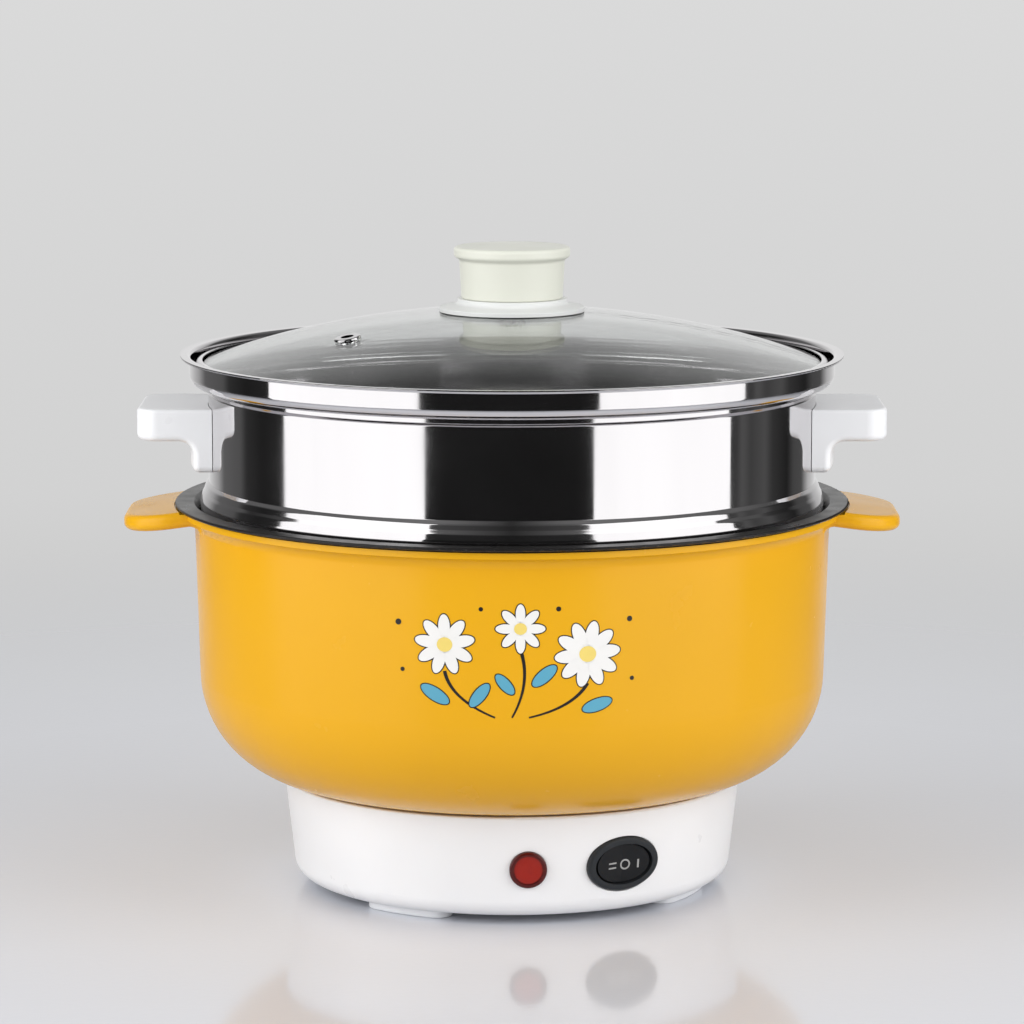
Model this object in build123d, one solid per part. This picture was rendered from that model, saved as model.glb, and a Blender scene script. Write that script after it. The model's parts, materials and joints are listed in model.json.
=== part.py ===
from build123d import *
import math
import os

# An electric cooking pot with a lift-off steamer and a glass lid.
# Millimetres and degrees, Z up, origin on the table under the middle of the pot.
# The front is -Y. An azimuth is counted from the front towards +X.

# Feet
FOOT_HEIGHT = 3.2
FOOT_AZIMUTH = -33.6
FOOT_SPREAD = 97.6
FOOT_SPAN = 29.5
FOOT_INSET = 7.5
FOOT_WIDTH = 11.5
FOOT_WRAP = 1.6
FOOT_EDGE = 0.8
GLUE_GAP = 0.1

# Base housing
BASE_HEIGHT = 38.3
BASE_INSET = 33.3
BASE_TAPER = 4.4
BASE_WALL = 2.5
BASE_DECK = 2.5
BASE_LOWER_EDGE = 7.0
BASE_UPPER_EDGE = 0.8
BOSS_INSET = 9.5
BOSS_RADIUS = 4.0

# Bottom cover
COVER_INSET = 8.4
COVER_THICKNESS = 2.2
COVER_GAP = 0.4
COVER_RIM_HEIGHT = 4.0
COVER_RIM_WALL = 1.6
SLOT_LENGTH = 15.0
SLOT_WIDTH = 3.0
SLOT_INSET = 29.5
SLOT_COUNT = 18
BOTTOM_SCREW_RADIUS = 1.5
BOTTOM_SCREW_LENGTH = 12.0
BOTTOM_HEAD_RADIUS = 3.0
BOTTOM_HEAD_HEIGHT = 1.6
SCREW_GAP = 0.15
SCREW_HOLE_SPARE = 1.0

# Outer shell with its ears
SHELL_RADIUS = 119.6
SHELL_DRAFT = 2.8
SHELL_WALL = 2.2
SHELL_CORNER = 40.0
SHELL_FLARE = 4.4
SHELL_LIP = 4.6
EAR_LENGTH = 25.7
EAR_HALF_WIDTH = 31.5
EAR_THICKNESS = 6.0
EAR_DROOP = 3.6
EAR_CORNER = 19.0
EAR_EDGE = 2.3
EAR_COVE = 3.6
EAR_RISE = 1.8
FLANGE_RELIEF = 0.4

# Inner pot
RIM_HEIGHT = 146.2
POT_SHEET = 1.2
HEATER_SPACE = 14.5
POT_INSET = 6.0
POT_DRAFT = 2.6
POT_CORNER = 36.0
FLANGE_OVERHANG = 7.1
FLANGE_WIDTH = 6.9
FLANGE_EDGE = 0.5
LEDGE_DEPTH = 4.0
LEDGE_WIDTH = 3.4
LEDGE_EDGE = 0.8
SEAL_HEIGHT = 0.8
SEAL_WIDTH = 2.4

# Heater under the pot
PLATE_STUD_SPACE = 7.0
PLATE_THICKNESS = 8.0
PLATE_BORE_SPACE = 9.0
ELEMENT_INSET = 15.0
ELEMENT_RADIUS = 3.6
ELEMENT_GAP = 0.2
ELEMENT_BEND = 7.0
PIN_SPACING = 19.7
PIN_RISE = 6.2
PIN_HOLE_GAP = 1.4
SHIELD_INSET = 2.0
SHIELD_BORE_SPACE = 8.5
SHIELD_SHEET = 0.6
SHIELD_RIM = 3.0

# Studs that clamp the pot, the shell and the base together
STUD_INSET = 16.3
STUD_RADIUS = 2.5
STUD_FOOT_RADIUS = 4.0
STUD_FOOT_HEIGHT = 1.5
STUD_AZIMUTHS = (90.0, 210.0, 330.0)
STUD_GAP = 0.2
SPACER_WALL = 1.8
NUT_RADIUS = 4.6
NUT_HEIGHT = 4.0
STUD_TAIL = 2.0

# Thermostat and thermal fuse
THERMOSTAT_RADIUS = 8.0
THERMOSTAT_NECK = 5.5
THERMOSTAT_NECK_LENGTH = 3.5
THERMOSTAT_BLADE = 6.0
FLOOR_BORE_SPACE = 14.0
BRACKET_END = 4.5
BRACKET_WIDTH = 13.0
BRACKET_SHEET = 0.8
BRACKET_SCREW_INSET = 4.5
SMALL_SCREW_RADIUS = 1.5
SMALL_SCREW_LENGTH = 5.0
SMALL_HEAD_RADIUS = 2.8
SMALL_HEAD_HEIGHT = 1.6
FUSE_RADIUS = 1.5
FUSE_LENGTH = 15.0
FUSE_LEAD_RADIUS = 0.5
FUSE_LEAD_SPAN = 30.0
CLIP_WIDTH = 7.0
CLIP_SHEET = 0.5
CLIP_TAB = 7.0

# Control panel height above the bottom of the base
PANEL_HEIGHT = 18.6

# Rocker switch
SWITCH_AZIMUTH = 28.9
BEZEL_LENGTH = 29.5
BEZEL_HEIGHT = 20.6
BEZEL_PROUD = 2.2
BEZEL_EDGE = 1.3
SWITCH_HOLE_GAP = 0.3
COLLAR_WALL = 1.3
ROCKER_LENGTH = 21.7
ROCKER_HEIGHT = 14.7
ROCKER_TIP = 8.0
ROCKER_VALLEY = 6.0
ROCKER_FACE = 0.5
ROCKER_END_GAP = 1.1
ROCKER_SIDE_GAP = 0.4
ROCKER_CAP = 1.5
ROCKER_SHELF = 0.6
ROCKER_BLOCK_LENGTH = 16.0
ROCKER_BLOCK_HEIGHT = 9.4
ROCKER_BLOCK_DEPTH = 2.5
PIVOT_DEPTH = 3.0
TRUNNION_RADIUS = 1.3
TRUNNION_GAP = 0.05
TRUNNION_LENGTH = 2.2
SWITCH_FLOOR = 1.6
SWITCH_BACK_LENGTH = 22.0
SWITCH_BACK_HEIGHT = 13.0
SWITCH_BACK_DEPTH = 8.0
TAB_WIDTH = 6.3
TAB_SHEET = 0.8
TAB_LENGTH = 8.0
TAB_SPACING = 7.0

# Pilot lamp
LAMP_AZIMUTH = 4.0
LAMP_FLANGE = 6.9
LAMP_PROUD = 1.8
LAMP_EDGE = 0.9
LAMP_RECESS_RADIUS = 5.4
LAMP_RECESS = 0.5
LAMP_TUBE = 4.9
LAMP_TUBE_WALL = 0.9
LAMP_TUBE_LENGTH = 16.0
LAMP_FRONT = 1.0
LAMP_HOLE_GAP = 0.2
CLIP_RING = 7.6
CLIP_RING_SHEET = 1.0
BULB_GAP = 0.3
BULB_LENGTH = 11.0
BULB_TIP = 2.0
CAP_HEIGHT = 2.0
CAP_SPIGOT = 1.5

# Appliance inlet at the back
INLET_AZIMUTH = 180.0
INLET_FLANGE_WIDTH = 32.0
INLET_FLANGE_HEIGHT = 25.0
INLET_FLANGE_PROUD = 2.6
INLET_CHAMFER = 0.9
INLET_BODY_WIDTH = 27.4
INLET_BODY_HEIGHT = 20.0
INLET_HOLE_GAP = 0.2
INLET_RECESS_WIDTH = 24.0
INLET_RECESS_HEIGHT = 16.6
INLET_RECESS_DEPTH = 15.5
INLET_RECESS_CORNER = 4.0
INLET_BACK = 2.5
INLET_PIN_SPREAD = 7.0
INLET_PIN_STEP = 2.0
INLET_PIN_WIDTH = 2.0
INLET_PIN_HEIGHT = 4.0
INLET_PIN_LENGTH = 14.0
INLET_PIN_GAP = 0.1
INLET_PIN_POINT = 0.5

# Internal leads
LEAD_RADIUS = 1.2
LEAD_RISE = 7.0
LEAD_RUN = 12.0
LEAD_BEND_SHARE = 0.45
LEAD_END_GAP = 0.2

# Steamer
STEAMER_SHEET = 0.8
STEAMER_HEIGHT = 55.3
STEAMER_FLANGE_WIDTH = 3.7
STEAMER_FLANGE_BEND = 1.2
STEAMER_BEND = 0.8
POCKET_WIDTH = 7.0
POCKET_DEPTH = 10.3
POCKET_CORNER = 3.6
STEAMER_STEP = 1.2
GROOVE_DEPTH = 0.9
GROOVE_HEIGHT = 2.6
SHOULDER_STEP = 1.2
SHOULDER_WIDTH = 2.3
SHOULDER_HEIGHT = 8.8
SHOULDER_SLOPE = 2.3
SHOULDER_TOP_BEND = 2.4
SHOULDER_BEND = 8.0
SHOULDER_FOOT_BEND = 1.5
SPIGOT_GAP = 0.8
SPIGOT_LENGTH = 6.0
FLOOR_LEDGE = 5.0
FLOOR_SHEET = 1.0
FLOOR_GAP = 0.4
FLOOR_HOLE = 4.0
FLOOR_RINGS = 4
FLOOR_MARGIN = 23.6
FLOOR_HOLES_PER_RING = 6

# Steamer handles
HANDLE_LENGTH = 25.6
HANDLE_HALF_WIDTH = 25.5
HANDLE_BELOW = 18.7
HANDLE_THICKNESS = 12.1
HANDLE_DROP = 23.8
HANDLE_LEG = 6.6
HANDLE_COVE = 5.0
HANDLE_TOP_EDGE = 1.4
HANDLE_EDGE = 2.6
HANDLE_CORNER = 8.0
HANDLE_GAP = 0.15
RIVET_RADIUS = 2.0
RIVET_HEAD_RADIUS = 4.2
RIVET_HEAD_HEIGHT = 1.4
RIVET_DEPTH = 4.5
RIVET_SPREAD = 12.0
RIVET_BELOW = 13.0
RIVET_GAP = 0.1

# Lid
LID_GAP = 2.4
LID_RIM_HEIGHT = 8.4
LID_RIM_SHEET = 0.6
LID_RIM_LIP = 2.5
LID_LIP_EDGE = 0.2
LID_RIM_FOOT = 4.2
LID_RIM_EDGE = 1.6
LID_RIM_FOOT_EDGE = 2.2
GLASS_THICKNESS = 4.0
GLASS_RISE = 19.8
GLASS_EDGE_GAP = 0.6
GLASS_LIP_GAP = 0.9
PACKING_GAP = 0.2
VENT_INSET = 46.4
VENT_AZIMUTH = -56.5
VENT_BORE = 2.4
VENT_WALL = 0.5
VENT_GAP = 0.15
VENT_FLANGE = 5.0
VENT_FLANGE_HEIGHT = 0.9
VENT_EDGE = 0.5

# Knob
KNOB_HOLE = 3.2
KNOB_SCREW_RADIUS = 2.5
KNOB_SCREW_GRIP = 12.0
KNOB_SCREW_HEAD = 5.0
KNOB_SCREW_HEAD_HEIGHT = 2.6
KNOB_SCREW_GAP = 0.1
WASHER_RADIUS = 9.0
WASHER_HEIGHT = 1.2
WASHER_GAP = 0.15
SKIRT_RADIUS = 27.3
SKIRT_EDGE = 1.6
SKIRT_ROUNDING = 0.5
SKIRT_WALL = 1.4
SKIRT_NECK = 20.4
SKIRT_HEIGHT = 4.8
SKIRT_GLASS_GAP = 0.3
SKIRT_FLARE = 1.6
SKIRT_NECK_HEIGHT = 2.0
KNOB_FOOT = 19.0
KNOB_BODY = 19.8
KNOB_LIP = 21.8
KNOB_LIP_HEIGHT = 5.0
KNOB_HEIGHT = 19.4
KNOB_CROWN = 0.8
KNOB_EDGE = 1.4

# Levels that follow from the sizes above
base_bottom = FOOT_HEIGHT
deck_top = base_bottom + BASE_HEIGHT
deck_under = deck_top - BASE_DECK
cover_top = base_bottom + COVER_THICKNESS
shell_under = deck_top
shell_floor = shell_under + SHELL_WALL
flange_under = RIM_HEIGHT - POT_SHEET
shell_top = flange_under - SEAL_HEIGHT
pot_floor = shell_floor + HEATER_SPACE
pot_under = pot_floor - POT_SHEET
plate_under = pot_under - PLATE_THICKNESS
ledge_level = RIM_HEIGHT - LEDGE_DEPTH
panel_level = base_bottom + PANEL_HEIGHT
pin_tip = panel_level + PIN_RISE
lead_level = cover_top + LEAD_RISE
steamer_top = RIM_HEIGHT + STEAMER_HEIGHT
shoulder_top = RIM_HEIGHT + SHOULDER_HEIGHT
handle_top = steamer_top - HANDLE_BELOW
rivet_level = handle_top - RIVET_BELOW
lid_seat = steamer_top - POCKET_DEPTH
lid_top = lid_seat + LID_RIM_HEIGHT

# Radii that follow from the sizes above
base_top_radius = SHELL_RADIUS - BASE_INSET
base_foot_radius = base_top_radius - BASE_TAPER
foot_reach = base_foot_radius - FOOT_INSET
cover_radius = base_foot_radius - COVER_INSET
boss_circle = cover_radius - BOSS_INSET
slot_circle = cover_radius - SLOT_INSET
foot_azimuths = [FOOT_AZIMUTH + turn for turn in (0, FOOT_SPREAD, 180, 180 + FOOT_SPREAD)]
boss_azimuths = [FOOT_AZIMUTH + FOOT_SPREAD / 2 + turn for turn in (0, 90, 180, 270)]
base_slope = BASE_TAPER / BASE_HEIGHT
base_draft = math.degrees(math.atan(base_slope))
panel_radius = base_foot_radius + base_slope * PANEL_HEIGHT
ear_reach = SHELL_RADIUS + EAR_LENGTH
flange_radius = SHELL_RADIUS + FLANGE_OVERHANG
pot_bore = SHELL_RADIUS - POT_INSET
stud_circle = base_top_radius - STUD_INSET
plate_radius = stud_circle - PLATE_STUD_SPACE
plate_bore = THERMOSTAT_RADIUS + PLATE_BORE_SPACE
element_ring = plate_radius - ELEMENT_INSET
pin_circle = math.hypot(element_ring, ELEMENT_BEND)
element_half_opening = math.atan2(ELEMENT_BEND, element_ring) + math.asin(PIN_SPACING / 2 / pin_circle)
shield_radius = plate_radius - SHIELD_INSET
shield_bore = THERMOSTAT_NECK + SHIELD_BORE_SPACE
floor_bore = THERMOSTAT_NECK + FLOOR_BORE_SPACE
bracket_screw_spread = plate_bore + BRACKET_SCREW_INSET
bracket_length = 2 * (bracket_screw_spread + BRACKET_END)
fuse_offset = (plate_bore + element_ring - ELEMENT_RADIUS - ELEMENT_GAP) / 2
spigot_radius = pot_bore - SPIGOT_GAP
steamer_radius = spigot_radius + STEAMER_STEP
shoulder_radius = steamer_radius + SHOULDER_WIDTH
pocket_radius = steamer_radius + POCKET_WIDTH
steamer_flange_radius = pocket_radius + STEAMER_FLANGE_WIDTH
floor_radius = spigot_radius - STEAMER_SHEET - FLOOR_GAP
handle_reach = steamer_radius + HANDLE_LENGTH
rivet_end = steamer_radius + RIVET_DEPTH
lid_radius = pocket_radius - LID_GAP
vent_circle = lid_radius - VENT_INSET
glass_radius = lid_radius - LID_RIM_SHEET - GLASS_EDGE_GAP
glass_edge_top = lid_top - LID_RIM_SHEET - GLASS_LIP_GAP
glass_sphere = (glass_radius ** 2 + GLASS_RISE ** 2) / (2 * GLASS_RISE)
glass_centre = glass_edge_top + GLASS_RISE - glass_sphere


def turned(face):
    """Solid turned about the Z axis from a face drawn as radius and height."""
    return revolve(Plane.XZ * face, Axis.Z)


def outline(corners):
    """Closed face through corners, each given as radius, height and rounding."""
    points = [(r, z) for r, z, _ in corners]
    return make_face(FilletPolyline(*points, radius=[edge for _, _, edge in corners], close=True))


def path(corners):
    """Open line through corners, each given as radius, height and rounding."""
    points = [(r, z) for r, z, _ in corners]
    return FilletPolyline(*points, radius=[edge for _, _, edge in corners[1:-1]])


def post(radius, low, high):
    """Upright cylinder on the Z axis between two levels."""
    return Pos(0, 0, low) * Cylinder(radius, high - low, align=(Align.CENTER, Align.CENTER, Align.MIN))


def block(length, width, low, high):
    """Upright box on the Z axis between two levels."""
    return Pos(0, 0, low) * Box(length, width, high - low, align=(Align.CENTER, Align.CENTER, Align.MIN))


def prism(sketch, low, high):
    """Sketch drawn in XY and raised between two levels."""
    return Pos(0, 0, low) * extrude(sketch, high - low)


def around(shape, azimuths):
    """Copies of a shape that was made at the front, turned to each azimuth."""
    return [Rot(0, 0, azimuth) * shape for azimuth in azimuths]


def joined(shapes):
    """Separate solids kept together as one group."""
    return Compound(children=[solid for shape in shapes for solid in shape.solids()])


def on_panel(azimuth):
    """Place on the base wall: X to the right, Y up the wall and Z straight out of it."""
    draft = math.radians(base_draft)
    outward = (0, -math.cos(draft), -math.sin(draft))
    front = Plane((0, -panel_radius, panel_level), x_dir=(1, 0, 0), z_dir=outward)
    return Rot(0, 0, azimuth) * front.location


def seat_depth(half_width):
    """How far a flat seat of this half width cuts into the round base wall."""
    return panel_radius - math.sqrt(panel_radius ** 2 - half_width ** 2)


def dome_level(radius, depth=0.0):
    """Level of the glass at a radius, at a depth below its upper face."""
    return glass_centre + math.sqrt((glass_sphere - depth) ** 2 - radius ** 2)


def element_pins():
    """Places of the two heater pins, and the ring angle where each one starts."""
    places = []
    for side in (1, -1):
        angle = math.radians(90) + side * element_half_opening
        start = Vector(element_ring * math.cos(angle), element_ring * math.sin(angle), plate_under)
        along = Vector(-math.sin(angle), math.cos(angle), 0) * side
        places.append((start, along))
    return places


def pin_holes(low, high):
    """Clearance holes for the two heater pins."""
    holes = []
    for start, along in element_pins():
        foot = start - along * ELEMENT_BEND
        holes.append(Pos(foot.X, foot.Y, 0) * post(ELEMENT_RADIUS + PIN_HOLE_GAP, low, high))
    return holes


def stud_holes(low, high):
    """Clearance holes for the pot studs."""
    return around(Pos(0, -stud_circle, 0) * post(STUD_RADIUS + STUD_GAP, low, high), STUD_AZIMUTHS)


# Base


def base_envelope(gap):
    """The outside of the base as one solid, grown by a gap at its underside."""
    corners = [
        (0, base_bottom - gap, 0),
        (base_foot_radius + gap, base_bottom - gap, BASE_LOWER_EDGE),
        (base_top_radius + gap, deck_top, 0),
        (0, deck_top, 0),
    ]
    return turned(outline(corners))


def base_shell():
    """Foot housing: drafted wall, deck under the pot, screw bosses and panel openings."""
    opening = cover_radius + COVER_GAP
    ledge = base_bottom + BASE_WALL
    corners = [
        (floor_bore, deck_top, 0),
        (base_top_radius, deck_top, BASE_UPPER_EDGE),
        (base_foot_radius, base_bottom, BASE_LOWER_EDGE),
        (opening, base_bottom, 0),
        (opening, ledge, 0),
        (base_foot_radius + base_slope * BASE_WALL - BASE_WALL, ledge, BASE_LOWER_EDGE - BASE_WALL),
        (base_top_radius - base_slope * BASE_DECK - BASE_WALL, deck_under, 0),
        (floor_bore, deck_under, 0),
    ]
    shell = turned(outline(corners))
    boss = Pos(0, -boss_circle, 0) * post(BOSS_RADIUS, cover_top, deck_top - BASE_DECK / 2)
    hole_top = base_bottom + BOTTOM_SCREW_LENGTH + SCREW_HOLE_SPARE
    hole = Pos(0, -boss_circle, 0) * post(BOTTOM_SCREW_RADIUS + SCREW_GAP, base_bottom, hole_top)
    deck_holes = stud_holes(deck_under, deck_top) + pin_holes(deck_under, deck_top)
    for solid in around(boss, boss_azimuths):
        shell += solid
    for cut in around(hole, boss_azimuths) + deck_holes:
        shell -= cut
    return shell - switch_cut() - lamp_cut() - inlet_cut()


def bottom_cover():
    """Flat cover with a locating rim, air slots and screw holes."""
    rim_outer = cover_radius - COVER_GAP
    rim_top = cover_top + COVER_RIM_HEIGHT
    cover = post(cover_radius, base_bottom, cover_top)
    cover += post(rim_outer, cover_top, rim_top) - post(rim_outer - COVER_RIM_WALL, cover_top, rim_top)
    slot = Pos(0, -slot_circle, 0) * prism(SlotOverall(SLOT_LENGTH, SLOT_WIDTH, 90), base_bottom, cover_top)
    hole = Pos(0, -boss_circle, 0) * post(BOTTOM_SCREW_RADIUS + SCREW_GAP, base_bottom, cover_top)
    slots = [Rot(0, 0, index * 360 / SLOT_COUNT) * slot for index in range(SLOT_COUNT)]
    for cut in slots + around(hole, boss_azimuths):
        cover -= cut
    return cover


def base_feet():
    """Four curved pads that follow the rounded lower edge of the base."""
    middle = foot_reach - FOOT_WIDTH / 2
    rounding = math.degrees(FOOT_WIDTH / 2 / middle)
    arc = CenterArc((0, 0), middle, -90 - FOOT_SPAN / 2 + rounding, FOOT_SPAN - 2 * rounding)
    pad = extrude(SlotArc(arc, FOOT_WIDTH), FOOT_HEIGHT + FOOT_WRAP)
    pad = fillet(pad.faces().sort_by(Axis.Z)[0].edges(), FOOT_EDGE)
    pad -= base_envelope(GLUE_GAP)
    return joined(around(pad, foot_azimuths))


def bottom_screws():
    """Pan-head screws that hold the bottom cover to the bosses."""
    head = post(BOTTOM_HEAD_RADIUS, base_bottom - BOTTOM_HEAD_HEIGHT, base_bottom)
    head = fillet(head.faces().sort_by(Axis.Z)[0].edges(), BOTTOM_HEAD_HEIGHT / 2)
    screw = head + post(BOTTOM_SCREW_RADIUS, base_bottom, base_bottom + BOTTOM_SCREW_LENGTH)
    return joined(around(Pos(0, -boss_circle, 0) * screw, boss_azimuths))


# Pot


def shell_corners(inset):
    """Outline of the outer shell from its lip to the middle of its floor, moved in by an inset."""
    low_radius = SHELL_RADIUS - SHELL_DRAFT
    return [
        (SHELL_RADIUS + SHELL_LIP, shell_top - SHELL_WALL + inset, 0),
        (SHELL_RADIUS - inset, shell_top - SHELL_WALL + inset, SHELL_FLARE + inset),
        (low_radius - inset, shell_under + inset, SHELL_CORNER - inset),
        (0, shell_under + inset, 0),
    ]


def shell_solid(inset):
    """Solid inside the outer shell's outline, closed at the shell's top."""
    corners = shell_corners(inset)
    tip, lip_under, _ = corners[0]
    closing = [(0, shell_under + inset), (0, shell_top), (tip, shell_top)]
    if lip_under < shell_top:
        closing.append((tip, lip_under))
    return turned(make_face(path(corners).edges() + Polyline(*closing).edges()))


def ear():
    """Ear at +X: a drooping plate with a rounded tip and a cove under its root."""
    root = SHELL_RADIUS - SHELL_WALL
    top = shell_top + EAR_RISE
    far = ear_reach + EAR_CORNER
    fall = EAR_DROOP / (ear_reach - SHELL_RADIUS)
    far_top = top - fall * (far - SHELL_RADIUS)
    root_under = top - EAR_THICKNESS
    foot = root_under - 2 * EAR_COVE
    corners = [
        (root, top + fall * SHELL_WALL, 0),
        (far, far_top, 0),
        (far, far_top - EAR_THICKNESS, 0),
        (SHELL_RADIUS, root_under, EAR_COVE),
        (SHELL_RADIUS - SHELL_DRAFT * 2 * EAR_COVE / (shell_top - shell_under), foot, 0),
        (root, foot, 0),
    ]
    half_turn = math.degrees(math.asin(EAR_HALF_WIDTH / root)) * 2
    ring = revolve(Plane.XZ * outline(corners), Axis.Z, 2 * half_turn)
    plan = Pos(root / 2, 0) * Rectangle(2 * ear_reach - root, 2 * EAR_HALF_WIDTH)
    plan = fillet(plan.vertices().group_by(Axis.X)[-1], EAR_CORNER)
    plate = Rot(0, 0, -half_turn) * ring & prism(plan, foot, top + EAR_RISE)
    faces = plate.faces().filter_by(GeomType.CONE).sort_by(Axis.Z)
    top_edges = [edge for edge in faces[-1].edges() if is_ear_rim(edge)]
    low_edges = [edge for edge in faces.sort_by(Axis.X)[-1].edges() if is_ear_rim(edge)]
    return fillet(ShapeList(top_edges + low_edges), EAR_EDGE)


def is_ear_rim(edge):
    """True for the edges round the free outline of an ear."""
    centre = edge.center(CenterOf.MASS)
    return abs(centre.Y) > EAR_HALF_WIDTH / 2 or centre.X > ear_reach - EAR_CORNER / 2


def outer_shell():
    """Moulded outer shell: flared lip, deep corner, two ears and holes in its floor."""
    solid = shell_solid(0)
    right = ear()
    solid = solid + right + Rot(0, 0, 180) * right
    shell = solid - shell_solid(SHELL_WALL)
    shell -= post(flange_radius + FLANGE_RELIEF, shell_top, RIM_HEIGHT + EAR_RISE)
    shell -= post(floor_bore, shell_under, shell_floor)
    for cut in stud_holes(shell_under, shell_floor) + pin_holes(shell_under, shell_floor):
        shell -= cut
    return shell


def inner_pot():
    """Coated pot: wide flange, stepped ledge for the steamer and a deep round corner."""
    inner_edge = flange_radius - FLANGE_WIDTH
    corners = [
        (flange_radius, RIM_HEIGHT, 0),
        (inner_edge, RIM_HEIGHT, LEDGE_EDGE),
        (pot_bore + LEDGE_WIDTH, ledge_level, LEDGE_EDGE),
        (pot_bore, ledge_level, LEDGE_EDGE),
        (pot_bore - POT_DRAFT, pot_floor, POT_CORNER),
        (0, pot_floor, 0),
    ]
    inner = path(corners)
    outer = inner.wire().offset_2d(POT_SHEET, side=Side.LEFT, closed=False)
    ends = sorted((outer @ 0, outer @ 1), key=lambda point: point.X)
    closing = [Line((0, pot_floor), ends[0]), Line((flange_radius, RIM_HEIGHT), ends[1])]
    face = make_face(inner.edges() + outer.edges() + [line.edge() for line in closing])
    pot = turned(face)
    circles = pot.edges().filter_by(GeomType.CIRCLE)
    rim = circles.filter_by(lambda edge: edge.radius > flange_radius - POT_SHEET)
    return fillet(rim, FLANGE_EDGE)


def rim_seal():
    """Soft ring between the shell's lip and the pot's flange."""
    outer = SHELL_RADIUS + SHELL_LIP - SEAL_HEIGHT
    return post(outer, shell_top, flange_under) - post(outer - SEAL_WIDTH, shell_top, flange_under)


# Heater


def element_groove():
    """Half-round groove for the heater tube."""
    section = Pos(element_ring, plate_under) * Circle(ELEMENT_RADIUS + ELEMENT_GAP)
    return turned(section)


def bracket_screw_places():
    """Places of the two screws that hold the thermostat's bracket."""
    return [Pos(bracket_screw_spread, 0, 0), Pos(-bracket_screw_spread, 0, 0)]


def heating_plate():
    """Cast plate brazed under the pot, with a groove for the heater tube."""
    plate = post(plate_radius, plate_under, pot_under) - post(plate_bore, plate_under, pot_under)
    plate -= element_groove()
    for place in bracket_screw_places():
        hole_top = plate_under + SMALL_SCREW_LENGTH + SCREW_HOLE_SPARE
        plate -= place * post(SMALL_SCREW_RADIUS + SCREW_GAP, plate_under, hole_top)
    return plate


def heating_element():
    """Tubular heater: an open ring whose two ends turn down as pins."""
    arcs = []
    feet = []
    for start, along in element_pins():
        centre = start - Vector(0, 0, ELEMENT_BEND)
        foot = centre - along * ELEMENT_BEND
        middle = centre + (Vector(0, 0, 1) - along).normalized() * ELEMENT_BEND
        arcs.append(ThreePointArc(foot, middle, start))
        feet.append(foot)
    opening = math.degrees(element_half_opening)
    ring = CenterArc((0, 0, plate_under), element_ring, 90 + opening, 360 - 2 * opening)
    drop = Vector(0, 0, plate_under - ELEMENT_BEND - pin_tip)
    legs = [Line(foot - drop, foot) for foot in feet]
    route = Wire([legs[0].edge(), arcs[0].edge(), ring.edge(), arcs[1].edge(), legs[1].edge()])
    section = Plane(feet[0] - drop, z_dir=(0, 0, 1)) * Circle(ELEMENT_RADIUS)
    return sweep(section, route)


def heat_shield():
    """Thin dish on the shell's floor that keeps the heat off the plastic."""
    top = shell_floor + SHIELD_SHEET
    shield = post(shield_radius, shell_floor, top + SHIELD_RIM)
    shield -= post(shield_radius - SHIELD_SHEET, top, top + SHIELD_RIM)
    shield -= post(shield_bore, shell_floor, top)
    for cut in pin_holes(shell_floor, top):
        shield -= cut
    return shield


def pot_studs():
    """Studs welded under the pot."""
    stud = post(STUD_RADIUS, deck_under - NUT_HEIGHT - STUD_TAIL, pot_under)
    stud += post(STUD_FOOT_RADIUS, pot_under - STUD_FOOT_HEIGHT, pot_under)
    return joined(around(Pos(0, -stud_circle, 0) * stud, STUD_AZIMUTHS))


def stud_spacers():
    """Sleeves that hold the pot off the shell's floor."""
    bore = STUD_RADIUS + STUD_GAP
    high = pot_under - STUD_FOOT_HEIGHT
    sleeve = post(bore + SPACER_WALL, shell_floor, high) - post(bore, shell_floor, high)
    return joined(around(Pos(0, -stud_circle, 0) * sleeve, STUD_AZIMUTHS))


def stud_nuts():
    """Nuts under the base deck."""
    low = deck_under - NUT_HEIGHT
    nut = prism(RegularPolygon(NUT_RADIUS, 6), low, deck_under)
    nut -= post(STUD_RADIUS + SCREW_GAP, low, deck_under)
    return joined(around(Pos(0, -stud_circle, 0) * nut, STUD_AZIMUTHS))


def thermostat():
    """Snap-disc thermostat pressed against the pot through the plate's bore."""
    neck_low = plate_under - BRACKET_SHEET - THERMOSTAT_NECK_LENGTH
    body = post(THERMOSTAT_RADIUS, plate_under, pot_under)
    body += post(THERMOSTAT_NECK, neck_low, plate_under)
    for side in (1, -1):
        body += Pos(side * THERMOSTAT_NECK / 2, 0, 0) * block(
            TAB_SHEET, TAB_WIDTH, neck_low - THERMOSTAT_BLADE, neck_low
        )
    return body


def thermostat_bracket():
    """Spring strap across the plate's bore that carries the thermostat."""
    low = plate_under - BRACKET_SHEET
    strap = prism(SlotOverall(bracket_length, BRACKET_WIDTH), low, plate_under)
    strap -= post(THERMOSTAT_NECK + STUD_GAP, low, plate_under)
    for place in bracket_screw_places():
        strap -= place * post(SMALL_SCREW_RADIUS + SCREW_GAP, low, plate_under)
    return strap


def bracket_screws():
    """Two screws that hold the bracket to the heating plate."""
    seat = plate_under - BRACKET_SHEET
    screw = post(SMALL_HEAD_RADIUS, seat - SMALL_HEAD_HEIGHT, seat)
    screw += post(SMALL_SCREW_RADIUS, seat, plate_under + SMALL_SCREW_LENGTH)
    return joined(place * screw for place in bracket_screw_places())


def fuse_axis():
    """Line of the thermal fuse, along X under the heating plate."""
    return Plane((0, -fuse_offset, plate_under - CLIP_SHEET - FUSE_RADIUS - ELEMENT_GAP), z_dir=(1, 0, 0))


def thermal_fuse():
    """One-shot thermal fuse with its two short leads."""
    body = Cylinder(FUSE_RADIUS, FUSE_LENGTH)
    leads = Cylinder(FUSE_LEAD_RADIUS, FUSE_LEAD_SPAN)
    return fuse_axis().location * (body + leads)


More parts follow.
